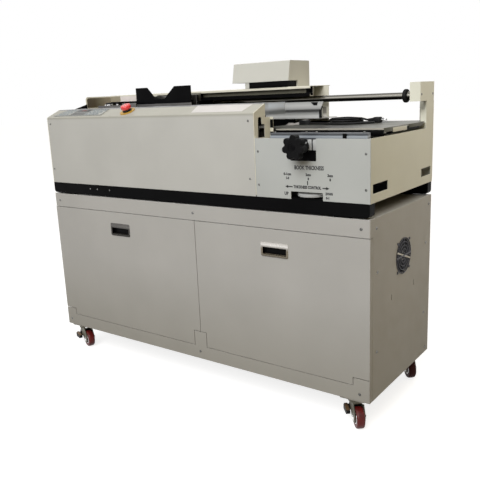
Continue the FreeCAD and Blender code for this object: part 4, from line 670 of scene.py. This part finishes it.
finishPiece("stop_arrows", form, whiteLabel, "stop_head")
turnedPiece("stop_ring_print", yellowPlastic, "base", closed(stopLook["ring"]), 64,
            onSlope(*stopLook["spot"]))
print("stop button dressed")

# control panel: outlines are (x, run up the slope); each block of keys leans with the row
panelLook = {
    "film": 1.5, "digits": "12.0", "digitSpot": (-554, 53.5), "lineHalf": 0.6,
    "lines": [[(-704, 10.5), (-414.5, 10.5), (-414.5, 67.5), (-670, 67.5)],
              [(-694, 13), (-612, 13), (-594, 65.5), (-664, 65.5)],
              [(-608, 13), (-521, 13), (-505, 65.5), (-590, 65.5)],
              [(-517, 13), (-418, 13), (-418, 65.5), (-501, 65.5)]],
    "left": (-672, 3), "right": (-510, 4), "rows": 3, "pitch": (21, 17), "lean": 8, "keyFoot": 17,
    "keySize": (17, 12), "field": [(-606, 16), (-524, 16), (-518, 40), (-600, 40)],
    "display": [(-598, 44), (-516, 44), (-510, 63), (-592, 63)],
}
panelTop = onSlope(0, 0, panelLook["film"])


# keys of a block: row, column and the middle of the key's lower edge
def keySpots(block):
    first, columns = panelLook[block]
    across, up = panelLook["pitch"]
    return [(row, column, first + row * panelLook["lean"] + column * across, panelLook["keyFoot"] + row * up)
            for row in range(panelLook["rows"]) for column in range(columns)]


form = bmesh.new()
for outline in panelLook["lines"]:
    for start, end in zip(outline, outline[1:] + outline[:1]):
        run = Vector((end[0] - start[0], end[1] - start[1]))
        side = Vector((-run.y, run.x)).normalized() * panelLook["lineHalf"]
        addPlate(form, [(start[0] - side.x, start[1] - side.y), (end[0] - side.x, end[1] - side.y),
                        (end[0] + side.x, end[1] + side.y), (start[0] + side.x, start[1] + side.y)], 0.1,
                 panelTop)
finishPiece("panel_lines", form, printInk, "base")
keyWide, keyTall = panelLook["keySize"]
for block in ("left", "right"):
    form = bmesh.new()
    for row, column, x, v in keySpots(block):
        addPlate(form, [(x - keyWide / 2, v), (x + keyWide / 2, v), (x + keyWide / 2, v + keyTall),
                        (x - keyWide / 2, v + keyTall)], 0.45, panelTop, 0.2)
    finishPiece("panel_keys_" + block, form, keyFilm, "base")
platePiece("panel_field", darkFilm, "base", panelLook["field"], 0.2, panelTop)
platePiece("panel_display", displayGlass, "base", panelLook["display"], 0.6, panelTop, 0.3)
printWords("panel_digits", panelLook["digits"], 12, onSlope(*panelLook["digitSpot"], panelLook["film"] + 0.7),
           displayDigits)
for row, column, x, v in keySpots("right"):
    printWords("panel_key_%d_%d" % (row, column), str(row * 4 + column), 6.0,
               onSlope(x, v + keyTall / 2, panelLook["film"] + 0.5), printInk)
print("control panel dressed")

# printing on the right front panel: words, height, middle (x, z) and how narrow
printLook = {
    "print_heading": ("BOOK THICKNESS", 12.5, 534.5, 749.5, 0.74),
    "print_upper_455": ("0-1cm", 8.0, 455, 728, 1.0), "print_lower_455": ("1-0", 8.0, 455, 715, 0.85),
    "print_upper_532": ("2cm", 8.0, 532, 728, 1.0), "print_lower_532": ("8", 8.0, 532, 715, 0.85),
    "print_upper_609": ("3cm", 8.0, 609, 728, 1.0), "print_lower_609": ("8", 8.0, 609, 715, 0.85),
    "print_mark": ("I", 12.5, 529, 701.5, 1.2), "print_control": ("THICKNESS CONTROL", 9.0, 527, 688, 0.78),
    "print_up": ("UP", 10.5, 450, 665, 0.85), "print_down": ("DOWN", 8.0, 605, 671, 0.66),
    "print_down_scale": ("0-1", 8.0, 600, 658, 0.85),
}
for name, (words, height, x, z, narrow) in printLook.items():
    printWords(name, words, height, onFront(x, z, 0.1), printInk, 0.75, narrow)
arrowLook = {"left": (446, 474, 1), "right": (606, 582, -1), "height": 688, "shaft": 1.9, "head": (11, 5)}
form = bmesh.new()
arrowFace = onFront(0, arrowLook["height"], 0.1)
shaft = arrowLook["shaft"]
headLong, headHalf = arrowLook["head"]
for tip, tail, way in (arrowLook["left"], arrowLook["right"]):
    low, high = sorted((tip + 6 * way, tail))
    addPlate(form, [(low, -shaft), (high, -shaft), (high, shaft), (low, shaft)], 0.1, arrowFace)
    head = [(tip, 0), (tip + headLong * way, -headHalf), (tip + headLong * way, headHalf)]
    addPlate(form, head[::way], 0.1, arrowFace)
finishPiece("print_arrows", form, printInk, "base")
print("printing done")

# blank labels, and shading of the beam's left end
labelLook = {
    "slope": [(55, 14), (275, 14), (287, 68), (44, 68)],
    "beam": [(-671, 968), (-548, 968), (-548, 997), (-671, 997)],
    "shade": [(-736, 966), (-672, 966), (-672, 999), (-736, 999)],
    "end": [(-36, 954), (104, 954), (104, 996), (-30, 996), (-36, 990)],
}
beamFace = onFront(0, 0, 0.1, y=106.0)
platePiece("slope_label", whiteLabel, "base", labelLook["slope"], 0.3, onSlope(0, 0, 0.1))
platePiece("beam_label", brightLabel, "base", labelLook["beam"], 0.3, beamFace)
platePiece("beam_shade", endShade, "base", labelLook["shade"], 0.3, beamFace)
platePiece("end_shade", endShade, "base", labelLook["end"], 0.4, onSide(-736.9))

# hood inlet, beam and left end: blocks as (low corner, high corner, rounding) in mm
coverBlocks = {
    "hood_inlet_cover": (clampPaint, [((60.5, 104.6, 1003.4), (236.5, 105.7, 1025.6), 0.3),
                                      ((235.3, 105.2, 1003.4), (236.5, 169.0, 1025.6), 0.3),
                                      ((60.5, 105.2, 1003.4), (61.7, 169.0, 1025.6), 0.3)]),
    "beam_end_cover": (clampPaint, [((313.5, 104.8, 966.3), (332.6, 105.8, 978.4), 0.3),
                                    ((313.5, 104.8, 990.6), (332.6, 105.8, 993.8), 0.3)]),
    # the channel's inner wall is a sheet in olive-grey painted shade; its right end, its lower band and the
    # shelf below it are black painted shade
    "channel_shade_sheet": (channelShade, [((-439.5, 127.2, 978), (304, 127.8, 1000.6))]),
    "channel_dark_shade": (blackPaint, [((304, 127.2, 978.1), (332.4, 127.8, 1000.6)),
                                 ((-439.5, 127.2, 968.4), (332.4, 127.8, 977.9)),
                                 ((-439.5, 106.3, 968.2), (332.4, 127.1, 968.7))]),
    "beam_edge_strip": (blackPaint, [((-736, 105.2, 964.8), (332.6, 105.8, 974.4))]),
}
for name, (finish, blocks) in coverBlocks.items():
    blockPiece(name, finish, "base", *blocks)
platePiece("end_lining", blackPaint, "base", [(-150, 938), (-40, 938), (-40, 969), (-109, 951.5)], 2.6,
           onSide(-736.8), 0.4)
endBlocks = {
    "end_switch": (blackPlastic, [((-588, -58, 951.2), (-560, -40, 958), 0.8),
                                  ((-594, -54, 966), (-556, -44, 973), 1.0),
                                  ((-534, -54, 966), (-520, -46, 973), 1.0)]),
    # the lower part is the deck's guide strip; its taller part, x -484 to -402, is painted light standing in
    # for the guide rod in the beam's shade
    "deck_guide": (footSteel, [((-636, -63.6, 951.1), (-484, -61.5, 960.5), 0.3),
                               ((-484, -63.6, 951.1), (-402, -61.5, 967.5), 0.3)]),
}
for name, (finish, blocks) in endBlocks.items():
    blockPiece(name, finish, "base", *blocks)
form = bmesh.new()
addBlock(form, at(-584, -57, 958), at(-566, -41, 966), 0.8)
addBlock(form, at(-531, -53, 951.2), at(-523, -47, 966), 0.8)
addTurned(form, [(0, -4), (3.6, -4), (4.0, -3.4), (4.0, 3.4), (3.6, 4), (0, 4)],
          aim(at(-592, -57, 961), (0, 1, 0)), 24)
finishPiece("end_switch_body", form, brightChrome, "base")
print("covers dressed")

# mechanism in the cheek opening: rollers as (y, z, radius)
cheekLook = {"plate": ((296, -240, 836), (299, -194, 906), 0.4), "plateFace": 299,
             "rollers": [(-226, 889, 7.5), (-208, 868, 6.0), (-214, 852, 5.0)],
             "bolts": [(-230, 846), (-230, 866)]}
blockPiece("cheek_backplate", blackPaint, "base", cheekLook["plate"])
form = bmesh.new()
for y, z, reach in cheekLook["rollers"]:
    addTurned(form, [(0, 0), (reach - 0.6, 0), (reach, 0.8), (reach, 15), (reach - 0.6, 16), (2.4, 16),
                     (2.0, 14), (0, 14)], aim(at(cheekLook["plateFace"], y, z), (1, 0, 0)), 28)
finishPiece("cheek_mechanism", form, castIron, "base")
stampAll("cheek_bolts", hexForm(6.0, 3.0),
         [aim(at(cheekLook["plateFace"], y, z), (1, 0, 0)) for y, z in cheekLook["bolts"]], brightChrome,
         "base")
print("cheek mechanism set")

# plates behind openings, then small plates at the bracket's window, the notch, the deck's end and the table
blockPiece("bracket_backing", creamPaint, "base", ((319.5, 210.1, 876), (352, 211.3, 931), 0.3))
# black plates behind the openings stand for the shade seen through them: painted shade; with them a small
# tilted black flap under the rod's end
form = bmesh.new()
for low, high in (((301, 211.4, 874), (352, 212.0, 933)), ((226, 210.1, 842), (366, 210.8, 876)),
                  ((-60, 256.8, 700), (222, 257.5, 925)), ((464, -258.4, 768), (564, -257.8, 804)),
                  ((334, -168.6, 869), (346.3, -168.1, 897)), ((334, -168.6, 845), (346.3, -168.1, 856))):
    addBlock(form, at(*low), at(*high))
flapTilt = Matrix(((1, 0, 0, 0), (0, 0.63, -0.776, 0), (0, 0.776, 0.63, 0), (0, 0, 0, 1)))
addPlate(form, [(-3, 0.6), (27, 0.6), (28, -14), (14, -14)], 0.4,
         Matrix.Translation(at(341.6, 99.8, 942.5)) @ flapTilt)
finishPiece("shade_backings_and_flap", form, blackPaint, "base")
plateBlocks = {
    "corner_filler": (cabinetPaintShaded, "base", [((741.3, -258.4, 51.2), (741.9, -241.6, 83.5))]),
    "bracket_window_face": (windowFace, "base", [((330, 206.5, 878), (345.5, 206.9, 922), 0.1)]),
    "notch_plate": (wheelSteel, "base", [((531, -258.4, 805), (545, -257.8, 838), 0.2),
                                         ((549, -258.4, 805), (560, -257.8, 838), 0.2)]),
    "deck_end_sheet": (deckEnd, "base", [((328.8, -165.6, 911.5), (329.4, -63.2, 950.6), 0.2),
                                         ((328.75, -194.6, 911.0), (328.95, -165.6, 950.0))]),
}
tableBlocks = {
    "table_side_olive": (oliveSteel, "table", [((738.1, -155, 852), (739.2, -92, 864.6), 0.3),
                                               ((738.1, 40, 853), (739.2, 165, 864.8), 0.3)]),
    "table_side_block": (creamPaint, "table", [((738.1, -91, 848), (739.4, 22, 861.5), 0.3)]),
    "table_front_strip": (edgeSteel, "nip_plate", [((349, -155.5, 859.4), (737, -155.1, 864.4), 0.1)]),
    "table_front_shade": (blackPaint, "nip_plate", [((349, -155.5, 840), (737, -155.1, 859.2), 0.1)]),
}
for name, (finish, body, blocks) in plateBlocks.items():
    blockPiece(name, finish, body, *blocks)
# a black strip at the guard sheet's right edge: painted shade for the shaded side of the bracket's window
platePiece("window_slot_shade", softRubber, "base",
           [(80.5, 887), (88.5, 887), (88.5, 914), (96.5, 926), (91.5, 930), (80.5, 916)], 7.4, onSide(383.5))
for name, (finish, body, blocks) in tableBlocks.items():
    blockPiece(name, finish, body, *blocks)

# bracket, rail and register fasteners
fastenerLook = {"bracket": [(216, 985, 0.0), (262, 985, 0.0), (284, 985, 0.0), (297, 938, 8.0)],
                "lamps": [(-506, 630), (-463, 630), (-390, 630)], "register": [404, 520, 556, 715]}
stampAll("bracket_bolts", hexForm(8.0, 3.6),
         [onFront(x, z, proud, y=207.0) for x, z, proud in fastenerLook["bracket"]], zincSteel, "base")
stampAll("rail_lamps", screwForm(3.4, 1.8), [onFront(x, z) for x, z in fastenerLook["lamps"]], dullSteel,
         "base")
stampAll("register_bolts", hexForm(6.0, 3.0),
         [Matrix.Translation(at(x, -245, 857.5)) for x in fastenerLook["register"]], dullSteel, "base")

# star knob: sections are (radius, distance along the screw), each about its own y
knobLook = {
    "centre": (514, 818), "setScrews": (1.0, 3.1, 5.2), "setReach": 21.9,
    "cap": (-321.2, [(0, 1.4), (10.5, 1.4), (10.5, 0.6), (9.5, 0.0), (0, 0.0)]),
    "thrustRing": (-240, mirrored([(7.1, -5), (11.5, -5), (12, -4.5)])),
    "bearing": (-263.5, [(7.1, -3), (14.5, -3), (16, -1.8), (16, 2.4), (15.2, 3), (7.1, 3), (7.1, -3)]),
}
knobX, knobZ = knobLook["centre"]


def knobRing(name, part, finish):
    y, section = knobLook[part]
    turnedPiece(name, finish, "nip_knob", section, 40, aim(at(knobX, y, knobZ), (0, 1, 0)))


knobRing("knob_cap", "cap", clampPaint)
outwards = [(math.sin(turn), math.cos(turn)) for turn in knobLook["setScrews"]]
stampAll("knob_set_screw", hexForm(6.5, 2.4),
         [aim(at(knobX + knobLook["setReach"] * u, -276, knobZ + knobLook["setReach"] * v), (u, 0, v))
          for u, v in outwards], brightChrome, "nip_knob")
knobRing("knob_thrust_ring", "thrustRing", brightChrome)
knobRing("knob_bearing", "bearing", footSteel)
print("knob dressed")

# clamp, and the glue in the tank
clampLook = {"left": -434.5, "right": -133.5}
blockPiece("rear_jaw_face", machinedBlock, "carriage",
           ((clampLook["left"] + 0.5, 11.55, 886), (clampLook["right"] - 0.5, 11.9, 989.5)),
           ((clampLook["left"] + 0.5, 11.55, 990.1), (clampLook["right"] - 0.5, 24, 990.5)))
blockPiece("drive_end_plate", machinedBlock, "carriage", ((-183.4, 32, 955), (-182.4, 98, 994), 0.3))
blockPiece("drive_labels", whiteLabel, "carriage", ((-227, 22.4, 976), (-201, 22.8, 986)),
           ((-221, 50, 996.1), (-197, 68, 996.4)))
blockPiece("clamp_foot_strip", footSteel, "jaw",
           ((clampLook["left"], -24.6, 945), (clampLook["right"], -20.2, 960.8), 0.4))
blockPiece("glue_pool", glueAmber, "base", ((34.3, -53.7, 803.2), (235.7, 55.7, 836)))
print("clamp dressed")

# mains lead, in mm: from the connector, round the coil, to the plug
leadLook = {
    "thick": 7.0, "pitch": 7.3, "outer": 64.0, "inner": 46.0, "coil": (484, 106),
    "route": [(362.3, 50), (396, 50), (444, 26), (512, 26), (592, 60), (592, 106), (556, 108)],
    "plugMouth": (551.4, 132), "plugRun": [(-22, 6, 12.0), (-8, 0, 7.6), (1, 0, 6.8)],
    "tieSpot": (432, 106), "tieRise": 7.2, "tieFlat": 0.66,
    "tie": [(13.2, -8.0), (13.4, -11.0), (15.2, -10.6), (15.8, -8.0)],
    "tag": [(264, 865.2), (319, 865.2), (321, 868), (318, 875), (300, 871), (276, 873)],
}
leadThick = leadLook["thick"] / 1000
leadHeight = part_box("nip_rear")[1].z + leadThick / 2 + 0.0003
points = [Vector((*at(x, y, 0).xy, leadHeight)) for x, y in leadLook["route"]]
coilCentre = at(*leadLook["coil"], 0)


# one loop of the coil: turns it runs through, radii in mm, layers it climbs, shift of its middle
def addLoop(start, turns, near, far, rise, shift, lobe):
    steps = max(round(turns * 18), 2)
    for step in range(1, steps + 1):
        part = step / steps
        turn = math.radians(start - part * turns * 360)
        radius = near + (far - near) * part + lobe * math.sin(3 * turn + start)
        height = leadHeight + (rise[0] + (rise[1] - rise[0]) * min(part * 5, 1)) * leadLook["pitch"] / 1000
        points.append(Vector((coilCentre.x + (radius * math.cos(turn) + shift[0]) / 1000,
                              coilCentre.y + (radius * math.sin(turn) + shift[1]) / 1000, height)))


addLoop(-8, 1.9, leadLook["outer"], leadLook["inner"] + 2, (0, 0), (0, 0), 2.0)
addLoop(-332, 1.9, leadLook["inner"], leadLook["outer"] - 3, (0, 1.0), (0, 0), 2.0)
addLoop(-296, 0.87, leadLook["outer"] - 12, leadLook["inner"] + 6, (1.0, 2.02), (2, -3), -4.0)
plugMouth = at(*leadLook["plugMouth"], 0)
points += [Vector((plugMouth.x + x / 1000, plugMouth.y + y / 1000, leadHeight + rise / 1000))
           for x, y, rise in leadLook["plugRun"]]
curve = bpy.data.curves.new("mains_lead", "CURVE")
curve.dimensions = "3D"
curve.bevel_depth = leadThick / 2
curve.bevel_resolution = 4
curve.resolution_u = 6
curve.use_fill_caps = True
line = curve.splines.new("NURBS")
line.points.add(len(points) - 1)
for spot, target in zip(line.points, points):
    spot.co = (*target, 1)
line.order_u = 3
line.use_endpoint_u = True
curve.materials.append(cordSheath)
lead = linkObject("mains_lead", curve)
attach(lead, "table")
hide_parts("cord_lead", "cord_coil")
form = bmesh.new()
tieSpot = Vector((*at(*leadLook["tieSpot"], 0).xy, leadHeight + leadLook["tieRise"] / 1000))
addTurned(form, mirrored(leadLook["tie"]),
          Matrix.Translation(tieSpot) @ Matrix.Rotation(math.pi / 2, 4, "X"), 32)
bmesh.ops.scale(form, vec=(1, 1, leadLook["tieFlat"]), space=Matrix.Translation(-tieSpot), verts=form.verts)
tie = finishPiece("lead_tie", form, softRubber, "table")
blockPiece("connector_label", whiteLabel, "table", ((335, 39.6, 881.7), (352, 60.4, 882.3), 0.2))
form = bmesh.new()
addPlate(form, leadLook["tag"], 0.4, onFront(0, 0, y=46))
addBlock(form, at(272, 20, 865.1), at(306, 44, 865.7), 0.2)
finishPiece("lead_tag", form, whiteLabel, "table")

# plug: ribbed sleeve, body and blades
plugLook = {"sleeve": 22.0, "ribs": 5, "ribPitch": 4.2, "bodyStart": 576.0, "bodyEnd": 601.0,
            "middle": (132, 875.3)}
sleeve = [(0, 0), (4.0, 0)]
for rib in range(plugLook["ribs"]):
    start = 1.5 + rib * plugLook["ribPitch"]
    grown = rib * 0.6
    sleeve += [(4.0 + grown, start), (5.2 + grown, start + 0.8), (5.2 + grown, start + 2.6),
               (4.2 + grown, start + 3.2)]
sleeve += [(8.0, plugLook["sleeve"] + 2.5), (0, plugLook["sleeve"] + 2.5)]
form = bmesh.new()
addTurned(form, sleeve, aim(at(plugLook["bodyStart"] - 24.4, *plugLook["middle"]), (1, 0, 0)), 28)
addBlock(form, at(plugLook["bodyStart"], 120, 865.4), at(plugLook["bodyEnd"], 144, 885.2), 3.2, 3)
addBlock(form, at(plugLook["bodyEnd"] - 0.5, 123, 868.5), at(plugLook["bodyEnd"] + 2, 141, 882), 0.8)
plug = finishPiece("plug_body", form, blackPlastic, "table")
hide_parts("cord_plug")
bladeStart = plugLook["bodyEnd"] + 1.5
bladeEnd = plugLook["bodyEnd"] + 20
blades = blockPiece("plug_blades", brightChrome, "table",
                    ((bladeStart, 125.2, 872), (bladeEnd, 126.8, 878.3), 0.4),
                    ((bladeStart, 137.2, 872), (bladeEnd, 138.8, 878.3), 0.4),
                    ((bladeStart, 130, 878.6), (bladeEnd + 1, 134, 882.4), 1.8))
print("plug dressed")


# 1 for the rays that look at the background: straight, in a reflection or through glass
def seenDirect(tree):
    rays = addNode(tree, "LightPath", {}).outputs
    most = addNode(tree, "Math", {0: rays["Is Camera Ray"], 1: rays["Is Glossy Ray"]}, operation="MAXIMUM")
    both = addNode(tree, "Math", {0: most.outputs[0], 1: rays["Is Transmission Ray"]}, operation="MAXIMUM")
    return both.outputs[0]


# floor: white to the rays that see it, a warm dark one for the light that it throws back
floorLook = {"seen": 0.45, "glow": 0.80, "bounce": (0.09, 0.07, 0.045), "rough": 0.9, "drop": 0.0002}
form = bmesh.new()
bmesh.ops.create_grid(form, x_segments=2, y_segments=2, size=30)
bmesh.ops.translate(form, vec=(0, 0, -floorLook["drop"]), verts=form.verts)
floor = linkObject("studio_floor", takeMesh("studio_floor", form))
floorWhite = bpy.data.materials.new("floor_white")
floorWhite.use_nodes = True
tree = floorWhite.node_tree
shader = tree.nodes["Principled BSDF"]
setInputs(tree, shader, {"Base Color": (*(floorLook["seen"],) * 3, 1), "Roughness": floorLook["rough"],
                         "Specular IOR Level": 0.0, "Emission Color": (1, 1, 1, 1),
                         "Emission Strength": floorLook["glow"]})
matte = addNode(tree, "BsdfDiffuse", {"Color": (*floorLook["bounce"], 1)})
mix = addNode(tree, "MixShader", {"Fac": seenDirect(tree), 1: matte.outputs[0], 2: shader.outputs[0]})
setInputs(tree, tree.nodes["Material Output"], {"Surface": mix.outputs[0]})
floor.data.materials.append(floorWhite)
floor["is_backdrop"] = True

# lamps, in watts: place, what it points at, size, power and colour
lampLook = {
    "key_light": ((0.65, -3.4, 3.1), (0, 0, 0.8), 2.4, 136.0, (1, 1, 1)),
    "top_light": ((0.4, -0.6, 4.2), (0, 0, 0.7), 3.0, 24.0, (1, 1, 1)),
    "side_light": ((1.5, 0.25, 1.7), (0.74, 0.1, 0.75), 0.6, 4.6, (1.0, 0.97, 0.92)),
}
for name, (place, target, size, power, colour) in lampLook.items():
    lamp = bpy.data.lights.new(name, "AREA")
    lamp.shape = "SQUARE"
    lamp.size = size
    lamp.energy = power
    lamp.color = colour
    holder = linkObject(name, lamp)
    holder.location = place
    holder.rotation_euler = (Vector(target) - Vector(place)).to_track_quat("-Z", "Y").to_euler()

# world: dim at the horizon, warm towards the right side, white where it is seen directly
worldLook = {"strength": 0.72, "horizon": (0.36, 0.36, 0.35), "horizonReach": 0.75,
             "warm": (0.45, 0.345, 0.155), "warmReach": 0.35}
world = bpy.data.worlds.new("studio")
bpy.context.scene.world = world
world.use_nodes = True
tree = world.node_tree
tree.nodes.clear()
sky = addNode(tree, "TexCoord", {})
split = addNode(tree, "SeparateXYZ", {0: sky.outputs["Generated"]})
height = addNode(tree, "MapRange", {"Value": split.outputs["Z"], "From Min": 0.0,
                                    "From Max": worldLook["horizonReach"]})
plain = addRamp(tree, height.outputs["Result"], [(0.0, worldLook["horizon"]), (1.0, 1.0)])
turned = addNode(tree, "MapRange", {"Value": split.outputs["X"], "From Min": 0.0,
                                    "From Max": worldLook["warmReach"]})
tint = addNode(tree, "Mix", {"Factor": turned.outputs["Result"], "A": plain, "B": (*worldLook["warm"], 1)},
               data_type="RGBA")
soft = addNode(tree, "Background", {"Color": tint.outputs["Result"], "Strength": worldLook["strength"]})
white = addNode(tree, "Background", {"Color": (1, 1, 1, 1)})
mix = addNode(tree, "MixShader", {"Fac": seenDirect(tree), 1: soft.outputs[0], 2: white.outputs[0]})
addNode(tree, "OutputWorld", {"Surface": mix.outputs[0]})

cameraLook = {"place": (1.51821, -1.91911, 1.08442), "turn": (76.890228, 2.500265, 36.203416),
              "lens": 46.76124}
camera = bpy.data.cameras.new("photo_camera")
camera.lens = cameraLook["lens"]
camera.sensor_width = 36
camera.clip_end = 100
holder = linkObject("photo_camera", camera)
holder.location = cameraLook["place"]
holder.rotation_euler = [math.radians(v) for v in cameraLook["turn"]]
bpy.context.scene.camera = holder
bpy.context.scene.view_settings.view_transform = "Standard"
print("studio set")

low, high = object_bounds()
